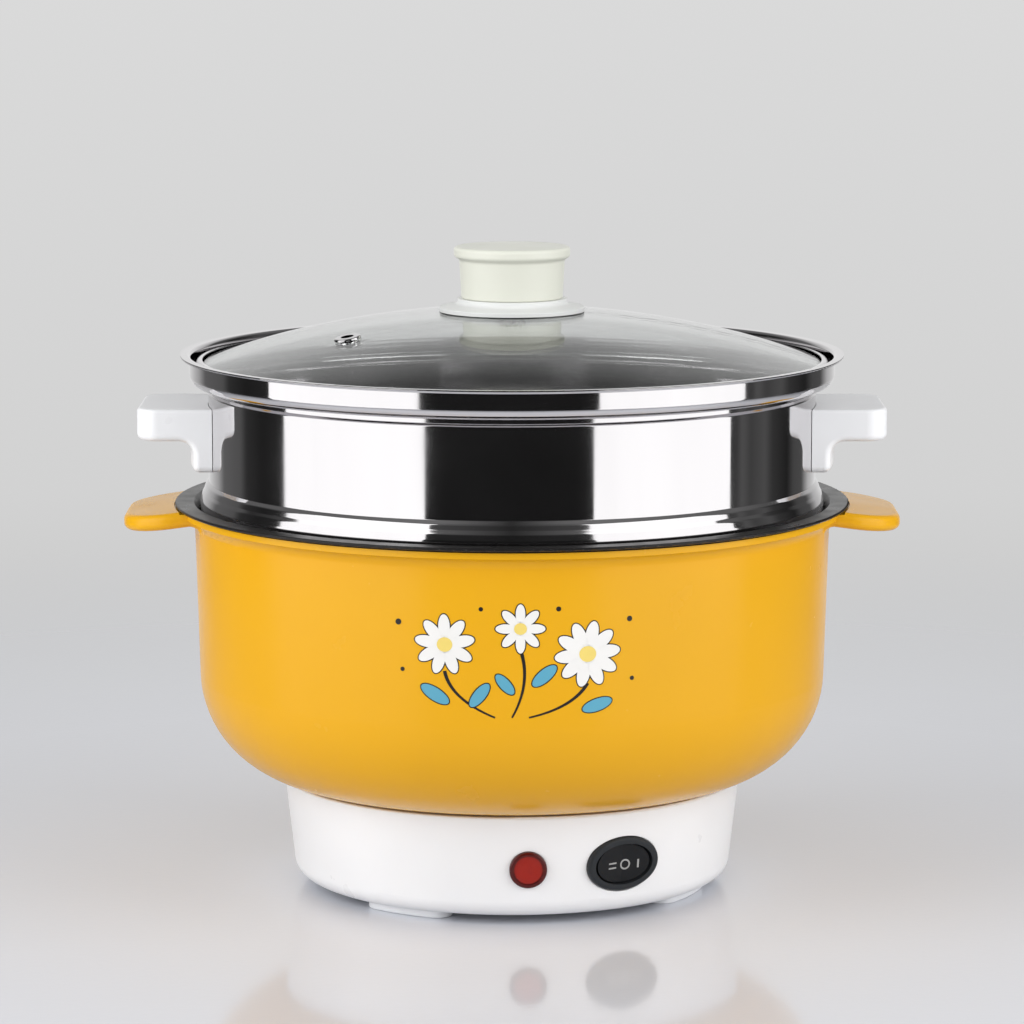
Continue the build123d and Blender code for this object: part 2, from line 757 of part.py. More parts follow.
def fuse_clip():
    """Saddle clip that holds the fuse to the heating plate."""
    bore = FUSE_RADIUS + ELEMENT_GAP
    ring = Circle(bore + CLIP_SHEET) - Circle(bore)
    saddle = fuse_axis().location * Pos(0, 0, -CLIP_WIDTH / 2) * extrude(ring, CLIP_WIDTH)
    tab = block(CLIP_WIDTH, CLIP_TAB, plate_under - CLIP_SHEET, plate_under)
    return saddle + Pos(0, -fuse_offset + CLIP_TAB / 2, 0) * tab


# Rocker switch


switch_seat = -seat_depth(BEZEL_LENGTH / 2)
rocker_pivot = switch_seat - PIVOT_DEPTH
rocker_sweep = math.radians(ROCKER_TIP)
block_reach = math.hypot(ROCKER_BLOCK_LENGTH / 2, ROCKER_BLOCK_DEPTH)
switch_well = rocker_pivot - block_reach * math.sin(
    math.atan2(ROCKER_BLOCK_DEPTH, ROCKER_BLOCK_LENGTH / 2) + rocker_sweep
) - ROCKER_SIDE_GAP
collar_low = switch_well - SWITCH_FLOOR
switch_back = collar_low - SWITCH_BACK_DEPTH


def oval(length, height, margin=0.0):
    """Oval face with a margin all round."""
    return Ellipse(length / 2 + margin, height / 2 + margin)


def rocker_well_oval(margin=0.0):
    """Oval opening in which the rocker tips."""
    return oval(ROCKER_LENGTH + 2 * ROCKER_END_GAP, ROCKER_HEIGHT + 2 * ROCKER_SIDE_GAP, margin)


def switch_cut():
    """Flat seat and opening for the switch in the base wall."""
    seat = prism(oval(BEZEL_LENGTH, BEZEL_HEIGHT, SWITCH_HOLE_GAP), switch_seat, BEZEL_PROUD)
    opening = prism(rocker_well_oval(COLLAR_WALL + SWITCH_HOLE_GAP), collar_low, BEZEL_PROUD)
    return on_panel(SWITCH_AZIMUTH) * (seat + opening)


def switch_body():
    """Oval bezel, collar and housing of the switch, with the well for its rocker."""
    bezel = prism(oval(BEZEL_LENGTH, BEZEL_HEIGHT), switch_seat, switch_seat + BEZEL_PROUD)
    bezel = fillet(bezel.faces().sort_by(Axis.Z)[-1].edges(), BEZEL_EDGE)
    body = bezel + prism(rocker_well_oval(COLLAR_WALL), collar_low, switch_seat)
    body += block(SWITCH_BACK_LENGTH, SWITCH_BACK_HEIGHT, switch_back, collar_low)
    shelf = rocker_pivot - ROCKER_SHELF
    body -= prism(rocker_well_oval(), shelf, switch_seat + BEZEL_PROUD)
    well_length = 2 * (block_reach + ROCKER_SIDE_GAP)
    body -= block(well_length, ROCKER_BLOCK_HEIGHT + 2 * ROCKER_SIDE_GAP, switch_well, shelf)
    half = ROCKER_BLOCK_HEIGHT / 2 + TRUNNION_LENGTH + ROCKER_SIDE_GAP / 2
    body -= Pos(0, 0, rocker_pivot) * Rot(90, 0, 0) * Cylinder(TRUNNION_RADIUS + TRUNNION_GAP, 2 * half)
    return on_panel(SWITCH_AZIMUTH) * body


def rocker():
    """Oval rocker with a shallow valley in its face, on two trunnions."""
    half = ROCKER_LENGTH / 2
    low = rocker_pivot + ROCKER_CAP
    middle = switch_seat + ROCKER_FACE
    ends = middle + half * math.tan(math.radians(ROCKER_VALLEY))
    valley = Polyline((-half, low), (half, low), (half, ends), (0, middle), (-half, ends), close=True)
    wedge = extrude(Plane.XZ * make_face(valley), ROCKER_HEIGHT / 2, both=True)
    cap = prism(oval(ROCKER_LENGTH, ROCKER_HEIGHT), low, ends) & wedge
    body = cap + block(ROCKER_BLOCK_LENGTH, ROCKER_BLOCK_HEIGHT, rocker_pivot - ROCKER_BLOCK_DEPTH, low)
    pin = Rot(90, 0, 0) * Cylinder(TRUNNION_RADIUS, ROCKER_BLOCK_HEIGHT + 2 * TRUNNION_LENGTH)
    return on_panel(SWITCH_AZIMUTH) * (body + Pos(0, 0, rocker_pivot) * pin)


def switch_terminals():
    """Three blade terminals at the back of the switch."""
    blade = block(TAB_SHEET, TAB_WIDTH, switch_back - TAB_LENGTH, switch_back)
    places = [Pos(step * TAB_SPACING, 0, 0) for step in (-1, 0, 1)]
    return joined(on_panel(SWITCH_AZIMUTH) * place * blade for place in places)


# Pilot lamp


lamp_seat = -seat_depth(LAMP_FLANGE)
lamp_low = lamp_seat - LAMP_TUBE_LENGTH
lamp_bore = LAMP_TUBE - LAMP_TUBE_WALL


def lamp_cut():
    """Flat seat and hole for the pilot lamp in the base wall."""
    seat = post(LAMP_FLANGE + LAMP_HOLE_GAP, lamp_seat, LAMP_PROUD)
    return on_panel(LAMP_AZIMUTH) * (seat + post(LAMP_TUBE + LAMP_HOLE_GAP, lamp_low, LAMP_PROUD))


def pilot_lens():
    """Red lens: a rounded flange with a dished face, on a hollow stem."""
    front = lamp_seat + LAMP_PROUD
    flange = post(LAMP_FLANGE, lamp_seat, front)
    flange = fillet(flange.faces().sort_by(Axis.Z)[-1].edges(), LAMP_EDGE)
    lens = flange + post(LAMP_TUBE, lamp_low, lamp_seat)
    lens -= post(LAMP_RECESS_RADIUS, front - LAMP_RECESS, front)
    lens -= post(lamp_bore, lamp_low, lamp_seat - LAMP_FRONT)
    return on_panel(LAMP_AZIMUTH) * lens


def pilot_clip():
    """Push-on ring that holds the lamp from inside the wall."""
    inside = panel_radius - BASE_WALL / math.cos(math.radians(base_draft))
    top = inside - panel_radius - (inside - math.sqrt(inside ** 2 - CLIP_RING ** 2)) - GLUE_GAP
    low = top - CLIP_RING_SHEET
    ring = post(CLIP_RING, low, top) - post(LAMP_TUBE + SCREW_GAP, low, top)
    return on_panel(LAMP_AZIMUTH) * ring


def pilot_cap():
    """Plug at the back of the lamp's stem."""
    plug = post(LAMP_TUBE, lamp_low - CAP_HEIGHT, lamp_low)
    plug += post(lamp_bore - SCREW_GAP, lamp_low, lamp_low + CAP_SPIGOT)
    return on_panel(LAMP_AZIMUTH) * plug


def neon_bulb():
    """Small glass lamp that stands on the plug inside the stem."""
    low = lamp_low + CAP_SPIGOT
    bulb = post(lamp_bore - BULB_GAP, low, low + BULB_LENGTH)
    bulb = fillet(bulb.faces().sort_by(Axis.Z)[-1].edges(), BULB_TIP)
    return on_panel(LAMP_AZIMUTH) * bulb


# Appliance inlet


inlet_seat = -seat_depth(INLET_FLANGE_WIDTH / 2)
inlet_face = inlet_seat + INLET_FLANGE_PROUD
inlet_floor = inlet_face - INLET_RECESS_DEPTH
inlet_back = inlet_floor - INLET_BACK


def inlet_cut():
    """Flat seat and opening for the inlet in the base wall."""
    gap = 2 * INLET_HOLE_GAP
    seat = block(INLET_FLANGE_WIDTH + gap, INLET_FLANGE_HEIGHT + gap, inlet_seat, INLET_FLANGE_PROUD)
    opening = block(INLET_BODY_WIDTH + gap, INLET_BODY_HEIGHT + gap, inlet_back, INLET_FLANGE_PROUD)
    return on_panel(INLET_AZIMUTH) * (seat + opening)


def inlet_pin_places():
    """Places of the two line pins and the earth pin."""
    return [
        (-INLET_PIN_SPREAD, -INLET_PIN_STEP),
        (INLET_PIN_SPREAD, -INLET_PIN_STEP),
        (0, INLET_PIN_STEP),
    ]


def inlet_body():
    """Snap-in inlet housing with a recess for the connector."""
    flange = RectangleRounded(INLET_FLANGE_WIDTH, INLET_FLANGE_HEIGHT, INLET_FLANGE_PROUD)
    flange = prism(flange, inlet_seat, inlet_face)
    flange = chamfer(flange.faces().sort_by(Axis.Z)[-1].edges(), INLET_CHAMFER)
    body = flange + block(INLET_BODY_WIDTH, INLET_BODY_HEIGHT, inlet_back, inlet_seat)
    recess = Rectangle(INLET_RECESS_WIDTH, INLET_RECESS_HEIGHT)
    recess = chamfer(recess.vertices().group_by(Axis.Y)[-1], INLET_RECESS_CORNER)
    body -= prism(recess, inlet_floor, inlet_face)
    gap = 2 * INLET_PIN_GAP
    for x, y in inlet_pin_places():
        body -= Pos(x, y, 0) * block(INLET_PIN_WIDTH + gap, INLET_PIN_HEIGHT + gap, inlet_back, inlet_floor)
    return on_panel(INLET_AZIMUTH) * body


def inlet_pins():
    """Two line pins and an earth pin, each with a blade at the back."""
    pin = block(INLET_PIN_WIDTH, INLET_PIN_HEIGHT, inlet_back, inlet_floor + INLET_PIN_LENGTH)
    pin = chamfer(pin.faces().sort_by(Axis.Z)[-1].edges(), INLET_PIN_POINT)
    pin += block(TAB_SHEET, TAB_WIDTH, inlet_back - TAB_LENGTH, inlet_back)
    return joined(on_panel(INLET_AZIMUTH) * Pos(x, y, 0) * pin for x, y in inlet_pin_places())


# Internal leads


def panel_point(azimuth, x, y, z):
    """World point of a place on the control panel."""
    return (on_panel(azimuth) * Pos(x, y, z)).position


def lead(points):
    """Round lead along straight runs joined by arcs as large as the runs allow."""
    radii = []
    for before, corner, after in zip(points, points[1:], points[2:]):
        shorter = min((corner - before).length, (after - corner).length)
        turn = math.radians((corner - before).get_angle(after - corner))
        radii.append(LEAD_BEND_SHARE * shorter / math.tan(turn / 2))
    route = FilletPolyline(*points, radius=radii)
    section = Plane(route @ 0, z_dir=route % 0) * Circle(LEAD_RADIUS)
    return sweep(section, route)


def inlet_lead_end(index):
    """Start of a lead at one of the inlet's blades, and a point straight behind it."""
    x, y = inlet_pin_places()[index]
    low = inlet_back - TAB_LENGTH - LEAD_END_GAP
    return [panel_point(INLET_AZIMUTH, x, y, low), panel_point(INLET_AZIMUTH, x, y, low - LEAD_RUN)]


def switch_lead_end(step):
    """A point straight behind one of the switch's blades, and the lead's end at that blade."""
    low = switch_back - TAB_LENGTH - LEAD_END_GAP
    x = step * TAB_SPACING
    return [panel_point(SWITCH_AZIMUTH, x, 0, low - LEAD_RUN), panel_point(SWITCH_AZIMUTH, x, 0, low)]


def live_lead():
    """Lead from the inlet to the middle blade of the switch."""
    start = inlet_lead_end(1)
    end = switch_lead_end(0)
    middle = (start[1] + end[0]) * 0.5
    return lead(start + [Vector(middle.X - LEAD_RUN, middle.Y, lead_level)] + end)


def heater_lead():
    """Lead from an outer blade of the switch to one pin of the heater."""
    end = switch_lead_end(1)
    start, along = element_pins()[1]
    foot = start - along * ELEMENT_BEND
    tip = Vector(foot.X, foot.Y, pin_tip - LEAD_END_GAP)
    below = tip - Vector(0, 0, LEAD_RUN)
    middle = (below + end[0]) * 0.5
    return lead([tip, below, Vector(middle.X + LEAD_RUN / 2, middle.Y, lead_level)] + end)


def neutral_lead():
    """Lead from the inlet to the other pin of the heater."""
    start = inlet_lead_end(0)
    pin_start, along = element_pins()[0]
    foot = pin_start - along * ELEMENT_BEND
    tip = Vector(foot.X, foot.Y, pin_tip - LEAD_END_GAP)
    below = tip - Vector(0, 0, LEAD_RUN)
    side = Vector((start[1].X + below.X) / 2, start[1].Y - LEAD_RUN, lead_level)
    return lead(start + [side, below, tip])


# Steamer


def steamer_pan():
    """Spun steel ring: flange, lid pocket, groove, wall, shoulder and floor ledge."""
    half = STEAMER_SHEET / 2
    wall = steamer_radius - half
    shoulder = shoulder_radius - half
    spigot = spigot_radius - half
    pocket = lid_seat - half
    low = ledge_level - SPIGOT_LENGTH + half
    seat = ledge_level + half
    line = path([
        (steamer_flange_radius - half, steamer_top - half, 0),
        (pocket_radius - half, steamer_top - half, STEAMER_FLANGE_BEND),
        (pocket_radius - half, pocket, POCKET_CORNER),
        (wall - GROOVE_DEPTH, pocket, STEAMER_BEND),
        (wall - GROOVE_DEPTH, pocket - GROOVE_HEIGHT, STEAMER_BEND),
        (wall, pocket - GROOVE_HEIGHT - GROOVE_DEPTH, STEAMER_BEND),
        (wall, shoulder_top, SHOULDER_TOP_BEND),
        (wall + SHOULDER_STEP, shoulder_top - SHOULDER_SLOPE, SHOULDER_BEND),
        (shoulder, seat, SHOULDER_FOOT_BEND),
        (spigot, seat, STEAMER_BEND),
        (spigot, low, STEAMER_BEND),
        (spigot - FLOOR_LEDGE, low, 0),
    ])
    pan = turned(make_face(line.wire().offset_2d(half).edges()))
    for hole in rivet_solids(RIVET_RADIUS + RIVET_GAP, steamer_radius - HANDLE_LEG, rivet_end):
        pan -= hole
    return pan


def steamer_plate():
    """Perforated floor that sits on the ledge inside the spigot."""
    low = ledge_level - SPIGOT_LENGTH + STEAMER_SHEET
    disc = Circle(floor_radius) - Circle(FLOOR_HOLE)
    step = (floor_radius - FLOOR_MARGIN) / FLOOR_RINGS
    for ring in range(1, FLOOR_RINGS + 1):
        disc -= PolarLocations(ring * step, ring * FLOOR_HOLES_PER_RING) * Circle(FLOOR_HOLE)
    return prism(disc, low, low + FLOOR_SHEET)


def steamer_handle():
    """Handle at +X: a leg against the steamer's wall and a thick tab."""
    inner = steamer_radius + HANDLE_GAP
    leg = inner + HANDLE_LEG
    far = handle_reach + HANDLE_CORNER
    under = handle_top - HANDLE_THICKNESS
    foot = handle_top - HANDLE_DROP
    corners = [
        (inner, foot, 0),
        (leg, foot, HANDLE_EDGE),
        (leg, under, HANDLE_COVE),
        (far, under, 0),
        (far, handle_top, 0),
        (inner, handle_top, 0),
    ]
    half_turn = math.degrees(math.asin(HANDLE_HALF_WIDTH / inner)) * 2
    ring = Rot(0, 0, -half_turn) * revolve(Plane.XZ * outline(corners), Axis.Z, 2 * half_turn)
    plan = Pos(handle_reach / 2, 0) * Rectangle(handle_reach, 2 * HANDLE_HALF_WIDTH)
    plan = fillet(plan.vertices().group_by(Axis.X)[-1], HANDLE_CORNER)
    handle = ring & prism(plan, foot, handle_top)
    handle = round_level(handle, Axis.Z, HANDLE_TOP_EDGE)
    handle = round_level(handle, Axis.X, HANDLE_EDGE)
    for hole in rivet_solids(RIVET_RADIUS + RIVET_GAP, steamer_radius - HANDLE_LEG, rivet_end + RIVET_GAP):
        handle -= hole
    return handle


def round_level(handle, axis, radius):
    """A handle with the free outline of its last level face along an axis rounded."""
    level = handle.faces().filter_by(Axis.Z).sort_by(axis)[-1]
    return fillet(level.edges().filter_by(is_handle_rim), radius)


def is_handle_rim(edge):
    """True for the edges round the free outline of a handle's tab."""
    centre = edge.center(CenterOf.MASS)
    return abs(centre.Y) > HANDLE_HALF_WIDTH / 2 or centre.X > handle_reach - HANDLE_CORNER / 2


def rivet_solids(radius, start, end):
    """Radial rods at the rivets of both handles, between two radii."""
    rod = Pos(start, 0, rivet_level) * Rot(0, 90, 0) * Cylinder(
        radius, end - start, align=(Align.CENTER, Align.CENTER, Align.MIN)
    )
    pair = [Pos(0, side * RIVET_SPREAD, 0) * rod for side in (1, -1)]
    return [Rot(0, 0, turn) * solid for turn in (0, 180) for solid in pair]


def handle_rivets():
    """Rivets through the steamer's wall into the handles, with heads inside."""
    inner = steamer_radius - STEAMER_SHEET
    head_top = math.sqrt(inner ** 2 - (RIVET_SPREAD + RIVET_HEAD_RADIUS) ** 2) - RIVET_GAP
    shanks = rivet_solids(RIVET_RADIUS, head_top, rivet_end)
    heads = rivet_solids(RIVET_HEAD_RADIUS, head_top - RIVET_HEAD_HEIGHT, head_top)
    return joined(shank + head for shank, head in zip(shanks, heads))


# Lid


def glass_ring(inner, outer):
    """Section of the glass dome between two radii, as radius and height."""
    centre = Pos(0, glass_centre)
    arcs = centre * Circle(glass_sphere) - centre * Circle(glass_sphere - GLASS_THICKNESS)
    strip = Rectangle(outer - inner, 2 * (GLASS_RISE + GLASS_THICKNESS))
    return arcs & Pos((inner + outer) / 2, glass_edge_top) * strip


def vent_place():
    """Place on top of the glass at the vent, with Z straight out of the glass."""
    tilt = math.degrees(math.asin(vent_circle / glass_sphere))
    return Rot(0, 0, VENT_AZIMUTH) * Pos(0, 0, glass_centre) * Rot(tilt, 0, 0) * Pos(0, 0, glass_sphere)


def lid_glass():
    """Domed glass with holes for the knob's screw and the vent."""
    glass = turned(glass_ring(KNOB_HOLE, glass_radius))
    bore = post(VENT_BORE + VENT_WALL + VENT_GAP, -2 * GLASS_THICKNESS, GLASS_THICKNESS)
    return glass - vent_place() * bore


def lid_rim():
    """Steel channel round the edge of the glass."""
    inner = lid_radius - LID_RIM_SHEET
    lip = lid_radius - LID_RIM_LIP
    foot = lid_radius - LID_RIM_FOOT
    corners = [
        (foot, lid_seat, 0),
        (lid_radius, lid_seat, LID_RIM_FOOT_EDGE),
        (lid_radius, lid_top, LID_RIM_EDGE),
        (lip, lid_top, LID_LIP_EDGE),
        (lip, lid_top - LID_RIM_SHEET, 0),
        (inner, lid_top - LID_RIM_SHEET, LID_RIM_EDGE - LID_RIM_SHEET),
        (inner, lid_seat + LID_RIM_SHEET, LID_RIM_FOOT_EDGE - LID_RIM_SHEET),
        (foot, lid_seat + LID_RIM_SHEET, 0),
    ]
    return turned(outline(corners))


def lid_packing():
    """Soft ring in the channel under the edge of the glass."""
    low = lid_seat + LID_RIM_SHEET
    high = dome_level(glass_radius, GLASS_THICKNESS) - PACKING_GAP
    outer = lid_radius - LID_RIM_SHEET - PACKING_GAP
    inner = lid_radius - LID_RIM_FOOT
    corners = [
        (inner, low, 0),
        (outer, low, LID_RIM_FOOT_EDGE - LID_RIM_SHEET),
        (outer, high, 0),
        (inner, high, 0),
    ]
    return turned(outline(corners))


def vent_eyelet():
    """Flanged steel tube through the glass that lets steam out."""
    tube = VENT_BORE + VENT_WALL
    top = VENT_GAP + VENT_FLANGE_HEIGHT
    low = -GLASS_THICKNESS - VENT_GAP - VENT_FLANGE_HEIGHT
    upper = post(VENT_FLANGE, VENT_GAP, top)
    upper = fillet(upper.faces().sort_by(Axis.Z)[-1].edges(), VENT_EDGE)
    eyelet = upper + post(tube, low, VENT_GAP)
    eyelet += post(VENT_FLANGE - VENT_WALL, low, low + VENT_FLANGE_HEIGHT)
    eyelet -= post(VENT_BORE, low, top)
    return vent_place() * eyelet


glass_top = dome_level(0)
skirt_low = dome_level(SKIRT_RADIUS) + SKIRT_GLASS_GAP
hub_low = glass_top + WASHER_HEIGHT
skirt_top = skirt_low + SKIRT_HEIGHT
knob_top = skirt_top + KNOB_HEIGHT
under_glass = dome_level(WASHER_RADIUS, GLASS_THICKNESS) - WASHER_GAP
knob_bore = KNOB_SCREW_RADIUS + KNOB_SCREW_GAP


def knob_skirt():
    """Saucer under the knob that keeps the fingers off the glass."""
    ceiling = hub_low + SKIRT_WALL / 2
    corners = [
        (knob_bore, hub_low, 0),
        (WASHER_RADIUS, hub_low, 0),
        (WASHER_RADIUS + SKIRT_WALL, ceiling, 0),
        (SKIRT_NECK - SKIRT_WALL, ceiling, 0),
        (SKIRT_RADIUS - SKIRT_WALL, skirt_low, 0),
        (SKIRT_RADIUS, skirt_low, 0),
        (SKIRT_RADIUS, skirt_low + SKIRT_EDGE, SKIRT_ROUNDING),
        (SKIRT_NECK, skirt_top - SKIRT_NECK_HEIGHT, SKIRT_FLARE),
        (SKIRT_NECK, skirt_top, 0),
        (knob_bore, skirt_top, 0),
    ]
    return turned(outline(corners))


def lid_knob():
    """Knob with an overhanging lip and a slightly crowned top."""
    lip_low = knob_top - KNOB_LIP_HEIGHT
    corners = [
        (0, skirt_top, 0),
        (KNOB_FOOT, skirt_top, KNOB_EDGE / 2),
        (KNOB_BODY, lip_low, KNOB_EDGE),
        (KNOB_LIP, lip_low + KNOB_EDGE, KNOB_EDGE),
        (KNOB_LIP, knob_top, KNOB_EDGE),
        (0, knob_top + KNOB_CROWN, 0),
    ]
    hole_top = skirt_top + KNOB_SCREW_GRIP + SCREW_HOLE_SPARE
    return turned(outline(corners)) - post(knob_bore, skirt_top, hole_top)


def knob_screw():
    """Screw from under the glass up into the knob."""
    seat = under_glass - WASHER_HEIGHT
    head = post(KNOB_SCREW_HEAD, seat - KNOB_SCREW_HEAD_HEIGHT, seat)
    head = fillet(head.faces().sort_by(Axis.Z)[0].edges(), KNOB_SCREW_HEAD_HEIGHT / 2)
    return head + post(KNOB_SCREW_RADIUS, seat, skirt_top + KNOB_SCREW_GRIP)


def knob_washers():
    """Soft washers above and below the glass at the knob."""
    low = under_glass - WASHER_HEIGHT
    upper = post(WASHER_RADIUS, glass_top, hub_low) - post(knob_bore, glass_top, hub_low)
    lower = post(WASHER_RADIUS, low, under_glass) - post(knob_bore, low, under_glass)
    return joined([upper, lower])


pieces = {
    "base_shell": base_shell(),
    "bottom_cover": bottom_cover(),
    "base_feet": base_feet(),
    "bottom_screws": bottom_screws(),
    "outer_shell": outer_shell(),
    "inner_pot": inner_pot(),
    "rim_seal": rim_seal(),
    "heating_plate": heating_plate(),
    "heating_element": heating_element(),
    "heat_shield": heat_shield(),
    "pot_studs": pot_studs(),
    "stud_spacers": stud_spacers(),
    "stud_nuts": stud_nuts(),
    "thermostat": thermostat(),
    "thermostat_bracket": thermostat_bracket(),
    "bracket_screws": bracket_screws(),
    "thermal_fuse": thermal_fuse(),
    "fuse_clip": fuse_clip(),
    "switch_body": switch_body(),
    "rocker": rocker(),
    "switch_terminals": switch_terminals(),
    "pilot_lens": pilot_lens(),
    "pilot_clip": pilot_clip(),
    "pilot_cap": pilot_cap(),
    "neon_bulb": neon_bulb(),
    "inlet_body": inlet_body(),
    "inlet_pins": inlet_pins(),
    "live_lead": live_lead(),
    "heater_lead": heater_lead(),
    "neutral_lead": neutral_lead(),
    "steamer_pan": steamer_pan(),
    "steamer_plate": steamer_plate(),
    "steamer_handle_right": steamer_handle(),
    "steamer_handle_left": Rot(0, 0, 180) * steamer_handle(),
    "handle_rivets": handle_rivets(),
    "lid_glass": lid_glass(),
    "lid_rim": lid_rim(),
    "lid_packing": lid_packing(),
    "vent_eyelet": vent_eyelet(),
    "knob_skirt": knob_skirt(),
    "lid_knob": lid_knob(),
    "knob_screw": knob_screw(),
    "knob_washers": knob_washers(),
}

os.makedirs("parts", exist_ok=True)
for name, piece in pieces.items():
    export_step(piece, os.path.join("parts", name + ".step"))
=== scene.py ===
"""Looks of the electric cooking pot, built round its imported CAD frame."""
import json
import math

import bpy
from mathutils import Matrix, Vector


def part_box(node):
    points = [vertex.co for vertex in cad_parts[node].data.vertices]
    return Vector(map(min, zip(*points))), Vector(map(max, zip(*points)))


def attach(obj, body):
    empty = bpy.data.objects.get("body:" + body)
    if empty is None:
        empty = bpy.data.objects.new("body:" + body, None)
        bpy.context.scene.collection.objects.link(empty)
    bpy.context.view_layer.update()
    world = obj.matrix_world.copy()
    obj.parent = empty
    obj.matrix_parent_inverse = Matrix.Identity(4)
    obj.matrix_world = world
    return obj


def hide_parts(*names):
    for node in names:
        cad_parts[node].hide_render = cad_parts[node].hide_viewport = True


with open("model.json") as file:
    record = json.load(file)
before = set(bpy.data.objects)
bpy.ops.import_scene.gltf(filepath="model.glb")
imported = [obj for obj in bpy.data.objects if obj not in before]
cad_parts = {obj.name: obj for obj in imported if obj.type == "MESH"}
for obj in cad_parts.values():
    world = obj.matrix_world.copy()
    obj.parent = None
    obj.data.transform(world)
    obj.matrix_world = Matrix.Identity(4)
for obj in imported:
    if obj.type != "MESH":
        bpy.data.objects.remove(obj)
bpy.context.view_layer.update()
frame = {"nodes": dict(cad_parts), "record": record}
nodes = frame["nodes"]
record = frame["record"]

# Camera, in metres and millimetres of lens
CAMERA_DISTANCE = 1.685
CAMERA_HEIGHT = 0.3873
CAMERA_TARGET = 0.14075
CAMERA_LENS = 158.6
SENSOR_WIDTH = 36.0
CAMERA_REACH = 50.0

# Softboxes, in metres, degrees from the front and watts
SOFTBOX_DISTANCE = 1.0
SOFTBOX_HEIGHT = 1.30
SOFTBOX_FOOT = -0.12
SOFTBOXES = {"left": (-60.6, 1.145, 6.3), "right": (57.1, 1.075, 5.8)}

# Fill lamps that mirrors don't show, in metres, degrees from the front and watts
FILL_DISTANCE = 1.6
FILL_HEIGHT = 0.65
FILL_SIZE = 1.1
FILLS = {"left": (-66.0, 8.0), "front": (0.0, 2.5), "right": (66.0, 6.4)}

# Studio that polished surfaces mirror: degrees from the front towards +X, and brightness
STUDIO_STEPS = (
    (-180, 0.85), (-159, 0.61), (-148, 0.40), (-140, 0.13), (-124, 0.10), (-119, 0.033),
    (-108, 0.016), (-97, 0.02), (-33, 0.02), (-26, 0.010), (24, 0.010), (31, 0.02), (93, 0.05),
    (96, 0.10), (101, 0.06), (110, 0.088), (115, 0.04), (127, 0.016), (133, 0.07), (142, 0.08),
    (151, 0.49), (164, 0.69), (180, 0.85),
)

# Ceiling that polished surfaces mirror: degrees from the front and brightness, and the sines of the
# elevations between which it takes over from the studio's walls
CEILING_STEPS = (
    (-180, 0.17), (-110, 0.14), (-60, 0.2), (0, 0.03), (60, 0.2), (110, 0.14), (180, 0.17),
)
CEILING_START = 0.36
CEILING_END = 0.64

# Backdrop behind the pot: sine of the elevation of the view, and brightness; darker towards the
# bottom as painted shade of the floor just behind the pot
BACKDROP_AND_SHADE_STEPS = ((-0.30, 0.55), (-0.19, 0.56), (-0.165, 0.60), (-0.14, 0.645), (-0.03, 0.70))

# Even light on matt surfaces: sine of the elevation it comes from, and brightness
AMBIENT_STEPS = ((-1.0, 0.62), (0.0, 0.62), (0.5, 0.55), (1.0, 0.40))

# Floor, in metres: its size, where it fades out, the range of its roughness and how much it mirrors
FLOOR_RADIUS = 1.2
FLOOR_SEGMENTS = 96
FLOOR_FADE = (0.35, 0.85)
FLOOR_ROUGHNESS = (0.075, 0.095)
FLOOR_SHINE = 0.34

# Outside of the shell's wall, in metres: two levels and the radius at each
SHELL_HIGH = (0.142, 0.1196)
SHELL_LOW = (0.0415, 0.1168)

# Pilot lamp: degrees from the front, and in metres the radius and level of its middle and the radius
# of its bright face, outside which the lens is painted a darker red as shade on its rim
LAMP_AZIMUTH = 4.0
LAMP_RADIUS = 0.08404
LAMP_LEVEL = 0.0218
LAMP_FACE = 0.0053

# Spun sheet of the steamer, in millimetres: radius, height and rounding of each corner of its
# middle line
STEAMER_LINE = (
    (124.3, 201.1, 0.0), (120.6, 201.1, 1.2), (120.6, 190.8, 3.6), (112.7, 190.8, 0.8),
    (112.7, 188.2, 0.8), (113.6, 187.3, 0.8), (113.6, 154.0, 0.8), (114.8, 152.6, 2.0),
    (115.5, 150.7, 3.0), (116.2, 149.4, 3.0), (116.9, 147.0, 3.0), (116.9, 142.6, 1.5),
    (112.4, 142.6, 0.8), (112.4, 136.6, 0.8), (107.4, 136.6, 0.0),
)
STEAMER_SHEET = 0.8

# Steel rim of the lid, in millimetres: its sheet, how far its lip and foot reach inwards, and the
# roundings of its middle line
LID_RIM_SHEET = 0.6
LID_RIM_LIP = 2.5
LID_RIM_FOOT = 4.2
LID_RIM_EDGE = 1.3
LID_RIM_FOOT_EDGE = 1.9

# Turned pieces: steps round the axis, and degrees of each step along a rounding
SPIN_SEGMENTS = 256
ARC_STEP = 6.0

# Rocker: height of the middle of its face above its pivot in metres, and slope of the two halves in
# degrees
ROCKER_FACE_RISE = 0.0035
ROCKER_VALLEY = 6.0

# Marks on the rocker's face, in metres: place, width and height of each bar, place and radii of the
# ring
MARK_LIFT = 0.00006
MARK_BARS = (
    (-0.00425, 0.0003, 0.0033, 0.0006), (-0.00425, -0.0015, 0.0033, 0.0006),
    (0.00635, -0.0006, 0.0007, 0.0032),
)
MARK_RING = (0.00115, -0.0006)
MARK_RADII = (0.0020, 0.0014)
MARK_SEGMENTS = 48

